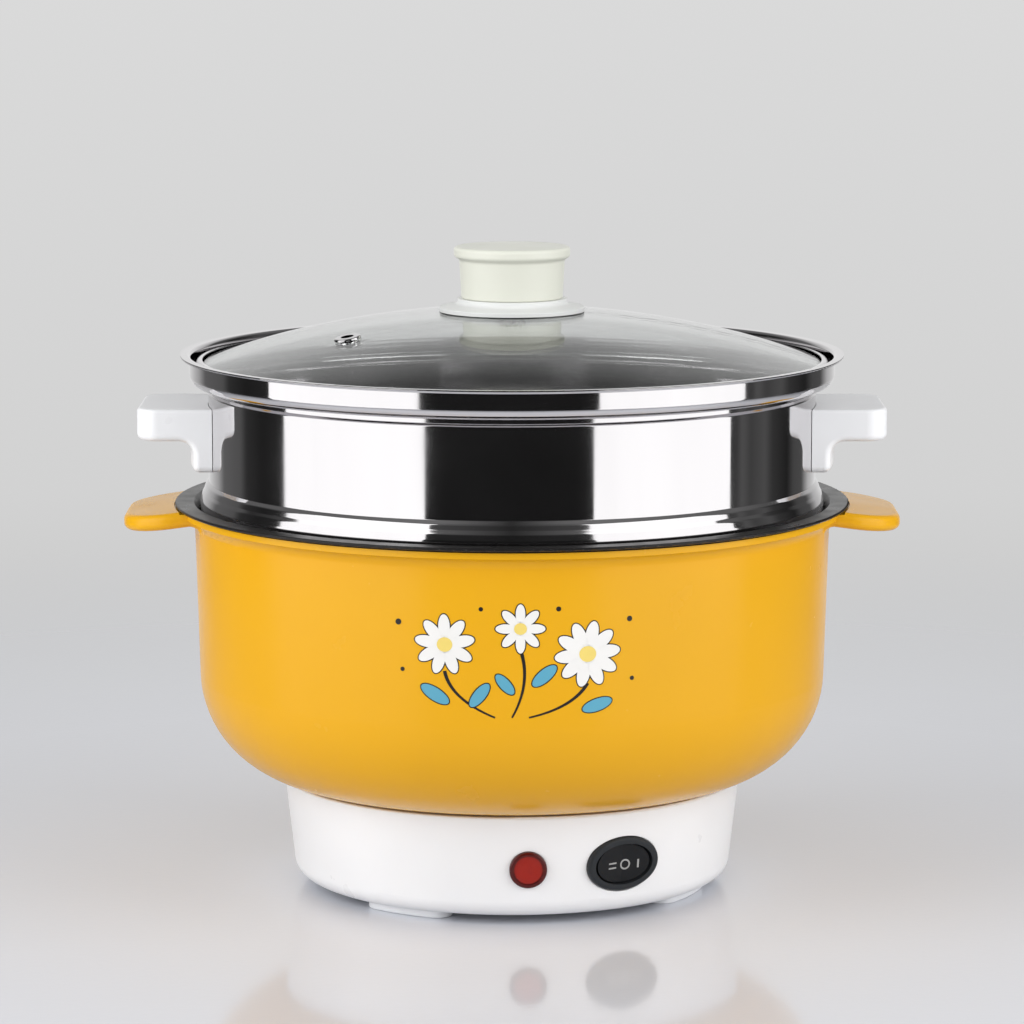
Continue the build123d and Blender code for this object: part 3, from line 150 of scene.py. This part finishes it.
# Print on the shell, in metres across its front and above the table: place, size, petals and first
# turn of each bloom, three points of each stem, place, half axes and turn of each leaf, place and
# radius of each dot
BLOOMS = (
    (-0.024, 0.1105, 0.0105, 9, 0.2), (0.003, 0.1165, 0.0085, 8, 0.0), (0.027, 0.107, 0.0115, 10, 0.1),
)
STEMS = (
    ((-0.024, 0.101), (-0.022, 0.091), (-0.006, 0.0845)),
    ((0.003, 0.109), (0.007, 0.097), (0.0, 0.0845)),
    ((0.027, 0.0965), (0.022, 0.088), (0.006, 0.0845)),
)
LEAVES = (
    (-0.0275, 0.0925, 0.0058, 0.0023, 2.6), (-0.0115, 0.0925, 0.0052, 0.0021, 0.9),
    (0.0115, 0.0995, 0.0054, 0.0022, 0.7), (0.0305, 0.0885, 0.0056, 0.0022, 0.3),
    (-0.0025, 0.0965, 0.0046, 0.0019, 2.3),
)
DOTS = (
    (-0.041, 0.118, 0.0011), (-0.0395, 0.101, 0.0008), (0.0165, 0.1235, 0.0009),
    (0.0425, 0.119, 0.0010), (0.0435, 0.0975, 0.0008), (-0.011, 0.1235, 0.0008),
)
STEM_WIDTH = 0.0013
STEM_TAPER = 0.5
OUTLINE_WIDTH = 0.0004

# Shares of a bloom's size: distance and half axes of a petal, radius of the white middle, half axes
# of the heart
PETAL_REACH = 0.62
PETAL_LONG = 0.42
PETAL_WIDE = 0.2
BLOOM_MIDDLE = 0.3
HEART_LONG = 0.27
HEART_WIDE = 0.25

# Heights of the inks off the shell in metres, and how finely they are drawn
OUTLINE_LIFT = 0.00003
INK_LIFT = 0.00006
HEART_LIFT = 0.00009
OVAL_SEGMENTS = 28
OVAL_RINGS = (1.0, 0.66, 0.33)
STROKE_STEPS = 24

# Name of the shader's socket for the strength of its mirror
SHINE = "Specular IOR Level"


def make(tree, kind, inputs=None, **settings):
    """New node of a kind with its settings and the values of its inputs."""
    made = tree.nodes.new(kind)
    for key, value in settings.items():
        setattr(made, key, value)
    for key, value in (inputs or {}).items():
        made.inputs[key].default_value = value
    return made


def math_node(tree, operation, first, second=None):
    """Output of a math node on sockets or numbers."""
    made = make(tree, "ShaderNodeMath", operation=operation)
    for index, value in enumerate((first, second)):
        if isinstance(value, bpy.types.NodeSocket):
            tree.links.new(value, made.inputs[index])
        elif value is not None:
            made.inputs[index].default_value = value
    return made.outputs[0]


def place(tree):
    """Object coordinates, in metres."""
    return make(tree, "ShaderNodeTexCoord").outputs["Object"]


def turned_place(tree):
    """Coordinates that change only with radius and height, as on a piece turned on a lathe."""
    parts = make(tree, "ShaderNodeSeparateXYZ")
    tree.links.new(place(tree), parts.inputs[0])
    sides = [parts.outputs[axis] for axis in ("X", "Y")]
    squares = [math_node(tree, "MULTIPLY", side, side) for side in sides]
    radius = math_node(tree, "SQRT", math_node(tree, "ADD", *squares))
    joined = make(tree, "ShaderNodeCombineXYZ")
    tree.links.new(radius, joined.inputs["X"])
    tree.links.new(parts.outputs["Z"], joined.inputs["Z"])
    return joined.outputs[0]


def streaked_place(tree, squeeze):
    """Coordinates whose height counts for little, so that noise on them forms upright streaks."""
    made = make(tree, "ShaderNodeVectorMath", {1: (1.0, 1.0, squeeze)}, operation="MULTIPLY")
    tree.links.new(place(tree), made.inputs[0])
    return made.outputs[0]


def noise(tree, vector, scale, detail=2.0, roughness=0.5):
    """Noise value at a number of features per metre."""
    values = {"Scale": scale, "Detail": detail, "Roughness": roughness}
    made = make(tree, "ShaderNodeTexNoise", values)
    tree.links.new(vector, made.inputs["Vector"])
    return made.outputs["Fac"]


def spread(tree, value, low, high, start=0.3, end=0.7):
    """A value of about 0.3 to 0.7 mapped to a range."""
    made = make(tree, "ShaderNodeMapRange")
    tree.links.new(value, made.inputs["Value"])
    made.inputs["From Min"].default_value = start
    made.inputs["From Max"].default_value = end
    made.inputs["To Min"].default_value = low
    made.inputs["To Max"].default_value = high
    return made.outputs["Result"]


def tones(tree, value, steps):
    """Colour ramp through steps of position and linear colour."""
    ramp = make(tree, "ShaderNodeValToRGB")
    tree.links.new(value, ramp.inputs["Fac"])
    while len(ramp.color_ramp.elements) < len(steps):
        ramp.color_ramp.elements.new(0.5)
    for element, (position, colour) in zip(ramp.color_ramp.elements, steps):
        element.position = position
        element.color = (*colour, 1.0)
    return ramp.outputs["Color"]


def bump(tree, height, distance, strength=1.0):
    """Normal raised by a height value."""
    made = make(tree, "ShaderNodeBump", {"Distance": distance, "Strength": strength})
    tree.links.new(height, made.inputs["Height"])
    return made.outputs["Normal"]


def shaded(name, colour, roughness, normal, values):
    """Material whose colour, roughness and normal come from functions of its node tree."""
    made = bpy.data.materials.new(name)
    made.use_nodes = True
    tree = made.node_tree
    shader = tree.nodes["Principled BSDF"]
    for key, value in values.items():
        shader.inputs[key].default_value = value
    tree.links.new(colour(tree), shader.inputs["Base Color"])
    tree.links.new(roughness(tree), shader.inputs["Roughness"])
    tree.links.new(normal(tree), shader.inputs["Normal"])
    return made


def scaled(colour, factor):
    """A linear colour made lighter or darker."""
    return tuple(channel * factor for channel in colour)


def moulded(name, colour, rough, grain=900.0, depth=0.00002, shade=0.04, **values):
    """Moulded plastic: a faint cloud of tone, fine grain and gloss that varies a little."""
    return shaded(
        name,
        lambda tree: tones(tree, noise(tree, place(tree), 14.0, 3.0),
                           ((0.3, scaled(colour, 1 - shade)), (0.7, scaled(colour, 1 + shade)))),
        lambda tree: spread(tree, noise(tree, place(tree), 60.0, 4.0), rough * 0.85, rough * 1.15),
        lambda tree: bump(tree, noise(tree, place(tree), grain, 3.0), depth),
        values,
    )


def spun_steel(name, colour, rough, lines=2600.0, depth=0.0000006, **values):
    """Polished spun steel: fine lines round the axis, upright streaks and faint smudges."""
    return shaded(
        name,
        lambda tree: tones(tree, noise(tree, streaked_place(tree, 0.06), 60.0, 4.0),
                           ((0.3, scaled(colour, 0.97)), (0.7, scaled(colour, 1.02)))),
        lambda tree: spread(tree, noise(tree, place(tree), 22.0, 5.0), rough * 0.6, rough * 1.6),
        lambda tree: bump(tree, noise(tree, turned_place(tree), lines, 2.0), depth),
        {"Metallic": 1.0, **values},
    )


def plain_metal(name, colour, rough, grain=500.0, depth=0.00001):
    """Plain metal: small mottling and a fine grain."""
    return shaded(
        name,
        lambda tree: tones(tree, noise(tree, place(tree), 120.0, 4.0),
                           ((0.3, scaled(colour, 0.85)), (0.7, scaled(colour, 1.1)))),
        lambda tree: spread(tree, noise(tree, place(tree), 200.0, 4.0), rough * 0.7, rough * 1.3),
        lambda tree: bump(tree, noise(tree, place(tree), grain, 4.0), depth),
        {"Metallic": 1.0},
    )


def clear_glass(name, colour, rough):
    """Clear glass with a slight tint and faint smudges."""
    return shaded(
        name,
        lambda tree: tones(tree, noise(tree, place(tree), 9.0, 2.0),
                           ((0.3, scaled(colour, 0.97)), (0.7, colour))),
        lambda tree: spread(tree, noise(tree, place(tree), 30.0, 5.0), 0.0, rough),
        lambda tree: bump(tree, noise(tree, place(tree), 8.0, 1.0), 0.00002),
        {"Transmission Weight": 1.0, "IOR": 1.5},
    )


def coated(name, colour, fleck, rough):
    """Non-stick coating: dark, satin, with fine pale flecks."""
    return shaded(
        name,
        lambda tree: tones(tree, noise(tree, place(tree), 1500.0, 1.0),
                           ((0.0, colour), (0.66, colour), (0.72, fleck))),
        lambda tree: spread(tree, noise(tree, place(tree), 90.0, 4.0), rough * 0.85, rough * 1.2),
        lambda tree: bump(tree, noise(tree, place(tree), 1100.0, 3.0), 0.00002),
        {SHINE: 0.3},
    )


# Linear colours
WHITE = (0.85, 0.855, 0.87)
YELLOW = (0.76, 0.385, 0.0072)
CREAM = (0.74, 0.75, 0.665)
SKIRT = (0.75, 0.76, 0.75)
STEEL = (0.73, 0.715, 0.725)
COATING = (0.012, 0.011, 0.011)
FLECK = (0.05, 0.05, 0.05)
CHARCOAL = (0.022, 0.025, 0.029)
JET = (0.007, 0.008, 0.010)
RED = (0.31, 0.010, 0.003)
# Darker red painted on the pilot lamp's rim as shade
SHADED_RIM_RED = (0.07, 0.004, 0.003)
INK = (0.012, 0.010, 0.010)
PAPER = (0.80, 0.79, 0.77)
STRAW = (0.80, 0.62, 0.16)
SKY = (0.10, 0.36, 0.50)
MARK = (0.36, 0.36, 0.36)
GLASS = (0.86, 0.88, 0.87)
BULB = (0.95, 0.85, 0.8)
ALUMINIUM = (0.62, 0.62, 0.62)
ZINC = (0.55, 0.55, 0.55)
BRASS = (0.62, 0.43, 0.16)
BAKELITE = (0.02, 0.016, 0.014)
SLEEVE = (0.55, 0.53, 0.48)
FLOOR_DARK = (0.68, 0.695, 0.745)
FLOOR_LIGHT = (0.70, 0.715, 0.765)


def heading(azimuth):
    """Level direction at a number of degrees from the front towards +X."""
    angle = math.radians(azimuth)
    return Vector((math.sin(angle), -math.cos(angle), 0))


def lamp_red_with_painted_rim_shade(tree):
    """Red of the lens: a bright face in a rim painted a darker red as shade."""
    outward = heading(LAMP_AZIMUTH)
    middle = outward * LAMP_RADIUS + Vector((0, 0, LAMP_LEVEL))
    offset = make(tree, "ShaderNodeVectorMath", {1: middle}, operation="SUBTRACT")
    tree.links.new(place(tree), offset.inputs[0])
    along = make(tree, "ShaderNodeVectorMath", {1: outward}, operation="PROJECT")
    tree.links.new(offset.outputs[0], along.inputs[0])
    across = make(tree, "ShaderNodeVectorMath", operation="SUBTRACT")
    tree.links.new(offset.outputs[0], across.inputs[0])
    tree.links.new(along.outputs[0], across.inputs[1])
    length = make(tree, "ShaderNodeVectorMath", operation="LENGTH")
    tree.links.new(across.outputs[0], length.inputs[0])
    # Painted shade: outside its face the lens turns a darker red, as if its rim lay in shade
    ring = spread(tree, length.outputs["Value"], 0.0, 1.0, LAMP_FACE * 0.92, LAMP_FACE * 1.04)
    mottle = spread(tree, noise(tree, place(tree), 420.0, 3.0), -0.12, 0.12)
    return tones(tree, math_node(tree, "ADD", ring, mottle), ((0.0, RED), (1.0, SHADED_RIM_RED)))


def finishes():
    """Every material by the name of its slot, or its own name where a piece differs in tone."""
    textured = {"grain": 2500.0, "depth": 0.00004, "shade": 0.15}
    return {
        "white_plastic": moulded("white_plastic", WHITE, 0.32),
        "yellow_plastic": moulded("yellow_plastic", YELLOW, 0.24, shade=0.02, **{SHINE: 0.3}),
        "black_coating": coated("black_coating", COATING, FLECK, 0.3),
        "stainless_steel": spun_steel("stainless_steel", STEEL, 0.06),
        "lid_glass": clear_glass("lid_glass", GLASS, 0.02),
        "knob_plastic": moulded("knob_plastic", CREAM, 0.34),
        "red_lens": shaded(
            "red_lens",
            lamp_red_with_painted_rim_shade,
            lambda tree: spread(tree, noise(tree, place(tree), 300.0), 0.10, 0.2),
            lambda tree: bump(tree, noise(tree, place(tree), 900.0, 3.0), 0.00003),
            {SHINE: 0.4},
        ),
        "switch_black": moulded("switch_black", CHARCOAL, 0.38, **textured, **{SHINE: 0.25}),
        "rocker_black": moulded("rocker_black", JET, 0.42, **textured, **{SHINE: 0.25}),
        "skirt_plastic": moulded("skirt_plastic", SKIRT, 0.34),
        "inlet_black": moulded("inlet_black", CHARCOAL, 0.45, **textured),
        "soft_black": moulded("soft_black", COATING, 0.6, grain=1500.0, depth=0.00004, shade=0.2),
        "cast_aluminium": plain_metal("cast_aluminium", ALUMINIUM, 0.4, grain=700.0, depth=0.00006),
        "plain_steel": plain_metal("plain_steel", ZINC, 0.28),
        "dark_mould": moulded("dark_mould", BAKELITE, 0.5, shade=0.2),
        "clear_bulb": clear_glass("clear_bulb", BULB, 0.02),
        "brass_blade": plain_metal("brass_blade", BRASS, 0.25),
        "lead_cover": moulded("lead_cover", SLEEVE, 0.6, grain=1800.0, depth=0.00006, shade=0.1),
    }


# Nodes whose tone differs from that of their slot
OWN_FINISH = {"rocker": "rocker_black", "knob_skirt": "skirt_plastic"}


def dress(materials):
    """Gives every CAD node the material of its slot."""
    for part in record["subparts"]:
        mesh = nodes[part["node"]].data
        mesh.materials.clear()
        mesh.materials.append(materials[OWN_FINISH.get(part["node"], part["material_slot"])])


def new_object(name, data):
    """New object in the scene."""
    made = bpy.data.objects.new(name, data)
    bpy.context.scene.collection.objects.link(made)
    return made


def aimed(made, location, aim):
    """Sets a camera or lamp at a place, facing a direction."""
    made.location = location
    made.rotation_euler = aim.to_track_quat("-Z", "Y").to_euler()


def camera():
    """Camera at the photograph's viewing angle."""
    data = bpy.data.cameras.new("camera")
    data.lens = CAMERA_LENS
    data.sensor_width = SENSOR_WIDTH
    data.sensor_fit = "HORIZONTAL"
    data.clip_end = CAMERA_REACH
    made = new_object("camera", data)
    location = Vector((0, -CAMERA_DISTANCE, CAMERA_HEIGHT))
    aimed(made, location, Vector((0, 0, CAMERA_TARGET)) - location)
    bpy.context.scene.camera = made


def lamp(name, width, height, power, location, aim):
    """Rectangular soft lamp at a place, facing a direction."""
    data = bpy.data.lights.new(name, "AREA")
    data.shape = "RECTANGLE"
    data.size = width
    data.size_y = height
    data.energy = power
    made = new_object(name, data)
    aimed(made, location, aim)
    made.visible_camera = False
    return made


def lamps():
    """Two tall softboxes at the sides and three fill lamps that mirrors don't show."""
    for side, (azimuth, width, power) in SOFTBOXES.items():
        direction = heading(azimuth)
        middle = direction * SOFTBOX_DISTANCE + Vector((0, 0, SOFTBOX_FOOT + SOFTBOX_HEIGHT / 2))
        lamp("softbox_" + side, width, SOFTBOX_HEIGHT, power, middle, -direction)
    for side, (azimuth, power) in FILLS.items():
        middle = heading(azimuth) * FILL_DISTANCE + Vector((0, 0, FILL_HEIGHT))
        aim = Vector((0, 0, CAMERA_TARGET)) - middle
        lamp("fill_" + side, FILL_SIZE, FILL_SIZE, power, middle, aim).visible_glossy = False


def ramp_between(tree, value, steps):
    """Grey ramp through steps of a value and a brightness."""
    low, high = steps[0][0], steps[-1][0]
    share = spread(tree, value, 0.0, 1.0, low, high)
    greys = [((at - low) / (high - low), (light, light, light)) for at, light in steps]
    return tones(tree, share, greys)


def mixed(tree, factor, first, second):
    """Mix of two colours, each a socket or a grey level."""
    made = make(tree, "ShaderNodeMix", data_type="RGBA")
    tree.links.new(factor, made.inputs["Factor"])
    for key, value in (("A", first), ("B", second)):
        if isinstance(value, bpy.types.NodeSocket):
            tree.links.new(value, made.inputs[key])
        else:
            made.inputs[key].default_value = (value, value, value, 1)
    return made.outputs["Result"]


def studio():
    """World: a pale backdrop with painted shade low down, even light, and for mirror reflections a
    studio with darker sides.
    """
    world = bpy.data.worlds.new("studio")
    world.use_nodes = True
    bpy.context.scene.world = world
    tree = world.node_tree
    direction = make(tree, "ShaderNodeTexCoord").outputs["Generated"]
    parts = make(tree, "ShaderNodeSeparateXYZ")
    tree.links.new(direction, parts.inputs[0])
    front = math_node(tree, "MULTIPLY", parts.outputs["Y"], -1.0)
    azimuth = math_node(tree, "DEGREES", math_node(tree, "ARCTAN2", parts.outputs["X"], front))
    overhead = spread(tree, parts.outputs["Z"], 0.0, 1.0, CEILING_START, CEILING_END)
    ceiling = ramp_between(tree, azimuth, CEILING_STEPS)
    mirrored = mixed(tree, overhead, ramp_between(tree, azimuth, STUDIO_STEPS), ceiling)
    # Painted shade: the backdrop darkens below the horizon, where the floor behind the pot lies in
    # shade
    backdrop = ramp_between(tree, parts.outputs["Z"], BACKDROP_AND_SHADE_STEPS)
    ambient = ramp_between(tree, parts.outputs["Z"], AMBIENT_STEPS)
    rays = make(tree, "ShaderNodeLightPath").outputs
    bent = math_node(tree, "MAXIMUM", rays["Is Glossy Ray"], rays["Is Transmission Ray"])
    lit = mixed(tree, bent, ambient, mirrored)
    shown = mixed(tree, rays["Is Camera Ray"], lit, backdrop)
    tree.links.new(shown, tree.nodes["Background"].inputs["Color"])


def floor():
    """Round pale glossy floor that fades into the backdrop."""
    mesh = bpy.data.meshes.new("floor")
    turns = [index * math.tau / FLOOR_SEGMENTS for index in range(FLOOR_SEGMENTS)]
    rim = [(math.cos(turn) * FLOOR_RADIUS, math.sin(turn) * FLOOR_RADIUS, 0) for turn in turns]
    mesh.from_pydata(rim, [], [range(FLOOR_SEGMENTS)])
    made = new_object("floor", mesh)
    surface = shaded(
        "floor",
        lambda tree: tones(tree, noise(tree, place(tree), 3.0),
                           ((0.3, FLOOR_DARK), (0.7, FLOOR_LIGHT))),
        lambda tree: spread(tree, noise(tree, place(tree), 40.0), *FLOOR_ROUGHNESS),
        lambda tree: bump(tree, noise(tree, place(tree), 300.0), 0.00002),
        {SHINE: FLOOR_SHINE},
    )
    tree = surface.node_tree
    away = make(tree, "ShaderNodeVectorMath", operation="LENGTH")
    tree.links.new(place(tree), away.inputs[0])
    fade = spread(tree, away.outputs["Value"], 1.0, 0.0, *FLOOR_FADE)
    tree.links.new(fade, tree.nodes["Principled BSDF"].inputs["Alpha"])
    mesh.materials.append(surface)


def new_piece(name, vertices, faces, body, surface):
    """Piece made from points and faces that rides on a body."""
    mesh = bpy.data.meshes.new(name)
    mesh.from_pydata(vertices, [], faces)
    mesh.materials.append(surface)
    made = new_object(name, mesh)
    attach(made, body)
    return made


def ring_faces(count, rings, first):
    """Quads between rings of points that follow one another in a list."""
    faces = []
    for ring in range(rings - 1):
        low = first + ring * count
        for index in range(count):
            after = (index + 1) % count
            faces.append((low + index, low + after, low + count + after, low + count + index))
    return faces


def rounded(corners):
    """Points along a line through corners that are rounded, each with the line's left normal."""
    spots = [Vector(corner[:2]) for corner in corners]
    along = [(after - before).normalized() for before, after in zip(spots, spots[1:])]
    sides = [Vector((-step.y, step.x)) for step in along]
    made = [(spots[0], sides[0])]
    for spot, corner, before, after, side in zip(spots[1:], corners[1:-1], along, along[1:], sides):
        turn = -before.angle_signed(after)
        reach = corner[2] * math.tan(abs(turn) / 2)
        towards = math.copysign(corner[2], turn)
        centre = spot - before * reach + side * towards
        count = max(2, math.ceil(math.degrees(abs(turn)) / ARC_STEP))
        for index in range(count + 1):
            share = turn * index / count
            normal = Vector((side.x * math.cos(share) - side.y * math.sin(share),
                             side.x * math.sin(share) + side.y * math.cos(share)))
            made.append((centre - normal * towards, normal))
    made.append((spots[-1], sides[-1]))
    return made


def lid_rim_line():
    """Middle line of the lid's steel rim, from its lip down to its foot."""
    low, high = (corner * 1000 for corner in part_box("lid_rim"))
    outside = high.x - LID_RIM_SHEET / 2
    top = high.z - LID_RIM_SHEET / 2
    bottom = low.z + LID_RIM_SHEET / 2
    return ((high.x - LID_RIM_LIP, top, 0.0), (outside, top, LID_RIM_EDGE),
            (outside, bottom, LID_RIM_FOOT_EDGE), (high.x - LID_RIM_FOOT, bottom, 0.0))


def spun(name, corners, sheet, body, node, surface):
    """Sheet turned from its middle line, as smooth as polished steel, in place of a CAD node."""
    line = rounded(corners)
    loop = [(spot + normal * sheet / 2, normal) for spot, normal in line]
    loop += [(spot - normal * sheet / 2, -normal) for spot, normal in reversed(line)]
    vertices = []
    normals = []
    for index in range(SPIN_SEGMENTS):
        turn = index * math.tau / SPIN_SEGMENTS
        across, over = math.cos(turn), math.sin(turn)
        vertices += [(spot.x * across / 1000, spot.x * over / 1000, spot.y / 1000)
                     for spot, _ in loop]
        normals += [(normal.x * across, normal.x * over, normal.y) for _, normal in loop]
    count = len(loop)
    faces = []
    for index in range(SPIN_SEGMENTS):
        low = index * count
        high = (index + 1) % SPIN_SEGMENTS * count
        for step in range(count):
            after = (step + 1) % count
            faces.append((low + step, low + after, high + after, high + step))
    made = new_piece(name, vertices, faces, body, surface)
    made.data.shade_smooth()
    made.data.normals_split_custom_set_from_vertices(normals)
    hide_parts(node)


def switch_marks():
    """Two bars, a ring and one bar printed on the rocker's face."""
    joint = next(joint for joint in record["behaviour"]["joints"] if joint["name"] == "rocker_tip")
    pivot = Vector(joint["pos_m"])
    up = Vector(joint["axis"])
    angle = math.atan2(pivot.x, -pivot.y)
    right = Vector((math.cos(angle), math.sin(angle), 0))
    outward = right.cross(up)

    def on_face(x, y):
        rise = ROCKER_FACE_RISE + abs(x) * math.tan(math.radians(ROCKER_VALLEY)) + MARK_LIFT
        return pivot + right * x + up * y + outward * rise

    vertices = []
    faces = []
    for x, y, width, height in MARK_BARS:
        corner = len(vertices)
        for side_x, side_y in ((-1, -1), (1, -1), (1, 1), (-1, 1)):
            vertices.append(on_face(x + side_x * width / 2, y + side_y * height / 2))
        faces.append(range(corner, corner + 4))
    first = len(vertices)
    for radius in MARK_RADII:
        for index in range(MARK_SEGMENTS):
            turn = index * math.tau / MARK_SEGMENTS
            x, y = MARK_RING
            vertices.append(on_face(x + radius * math.cos(turn), y + radius * math.sin(turn)))
    faces += ring_faces(MARK_SEGMENTS, len(MARK_RADII), first)
    new_piece("switch_marks", vertices, faces, "rocker", moulded("mark_ink", MARK, 0.5, shade=0.08))


def on_shell(across, level, lift):
    """Point on the front of the shell at a distance across and a level, lifted off its wall."""
    share = (level - SHELL_LOW[0]) / (SHELL_HIGH[0] - SHELL_LOW[0])
    radius = SHELL_LOW[1] + share * (SHELL_HIGH[1] - SHELL_LOW[1]) + lift
    angle = across / radius
    return (radius * math.sin(angle), -radius * math.cos(angle), level)


class Print:
    """One ink of the print: ovals and strokes gathered into one piece."""

    def __init__(self, lift):
        self.lift = lift
        self.vertices = []
        self.faces = []

    def oval(self, x, y, long, wide, turn=0.0):
        """Oval at a place, with its long half axis turned from the horizontal."""
        count = OVAL_SEGMENTS
        first = len(self.vertices)
        for share in OVAL_RINGS:
            for index in range(count):
                angle = index * math.tau / count
                along = long * share * math.cos(angle)
                over = wide * share * math.sin(angle)
                across = x + along * math.cos(turn) - over * math.sin(turn)
                level = y + along * math.sin(turn) + over * math.cos(turn)
                self.vertices.append(on_shell(across, level, self.lift))
        self.faces += ring_faces(count, len(OVAL_RINGS), first)
        inner = first + (len(OVAL_RINGS) - 1) * count
        self.vertices.append(on_shell(x, y, self.lift))
        middle = len(self.vertices) - 1
        self.faces += [(inner + index, inner + (index + 1) % count, middle)
                       for index in range(count)]

    def stroke(self, points, width):
        """Tapering line of a width along the quadratic curve of three points."""
        (x0, y0), (x1, y1), (x2, y2) = points
        first = len(self.vertices)
        for index in range(STROKE_STEPS + 1):
            t = index / STROKE_STEPS
            x = (1 - t) ** 2 * x0 + 2 * t * (1 - t) * x1 + t * t * x2
            y = (1 - t) ** 2 * y0 + 2 * t * (1 - t) * y1 + t * t * y2
            dx = 2 * (1 - t) * (x1 - x0) + 2 * t * (x2 - x1)
            dy = 2 * (1 - t) * (y1 - y0) + 2 * t * (y2 - y1)
            size = math.hypot(dx, dy)
            half = width / 2 * (1 - STEM_TAPER * t)
            for side in (1, -1):
                across = x - side * half * dy / size
                level = y + side * half * dx / size
                self.vertices.append(on_shell(across, level, self.lift))
        for index in range(STROKE_STEPS):
            low = first + 2 * index
            self.faces.append((low, low + 1, low + 3, low + 2))


def flower_print():
    """Three daisies with stems and leaves, printed in four inks on the front of the shell."""
    outline = Print(OUTLINE_LIFT)
    petals = Print(INK_LIFT)
    hearts = Print(HEART_LIFT)
    leaves = Print(INK_LIFT)
    for x, y, size, count, start in BLOOMS:
        long, wide = PETAL_LONG * size, PETAL_WIDE * size
        for index in range(count):
            turn = start + index * math.tau / count
            across = x + PETAL_REACH * size * math.cos(turn)
            level = y + PETAL_REACH * size * math.sin(turn)
            outline.oval(across, level, long + OUTLINE_WIDTH, wide + OUTLINE_WIDTH, turn)
            petals.oval(across, level, long, wide, turn)
        petals.oval(x, y, BLOOM_MIDDLE * size, BLOOM_MIDDLE * size)
        hearts.oval(x, y, HEART_LONG * size, HEART_WIDE * size)
    for points in STEMS:
        outline.stroke(points, STEM_WIDTH)
    for x, y, long, wide, turn in LEAVES:
        outline.oval(x, y, long + OUTLINE_WIDTH, wide + OUTLINE_WIDTH, turn)
        leaves.oval(x, y, long, wide, turn)
    for x, y, size in DOTS:
        outline.oval(x, y, size, size)
    for name, ink, colour in (("print_black", outline, INK), ("print_white", petals, PAPER),
                              ("print_straw", hearts, STRAW), ("print_blue", leaves, SKY)):
        surface = moulded(name, colour, 0.36, grain=1400.0, depth=0.00001, shade=0.06)
        new_piece(name, ink.vertices, ink.faces, "pot_unit", surface)


camera()
studio()
floor()
lamps()
surfaces = finishes()
dress(surfaces)
steel = surfaces["stainless_steel"]
spun("steamer_spun", STEAMER_LINE, STEAMER_SHEET, "steamer", "steamer_pan", steel)
spun("lid_rim_spun", lid_rim_line(), LID_RIM_SHEET, "lid", "lid_rim", steel)
switch_marks()
flower_print()

bpy.context.scene.view_settings.view_transform = "Standard"
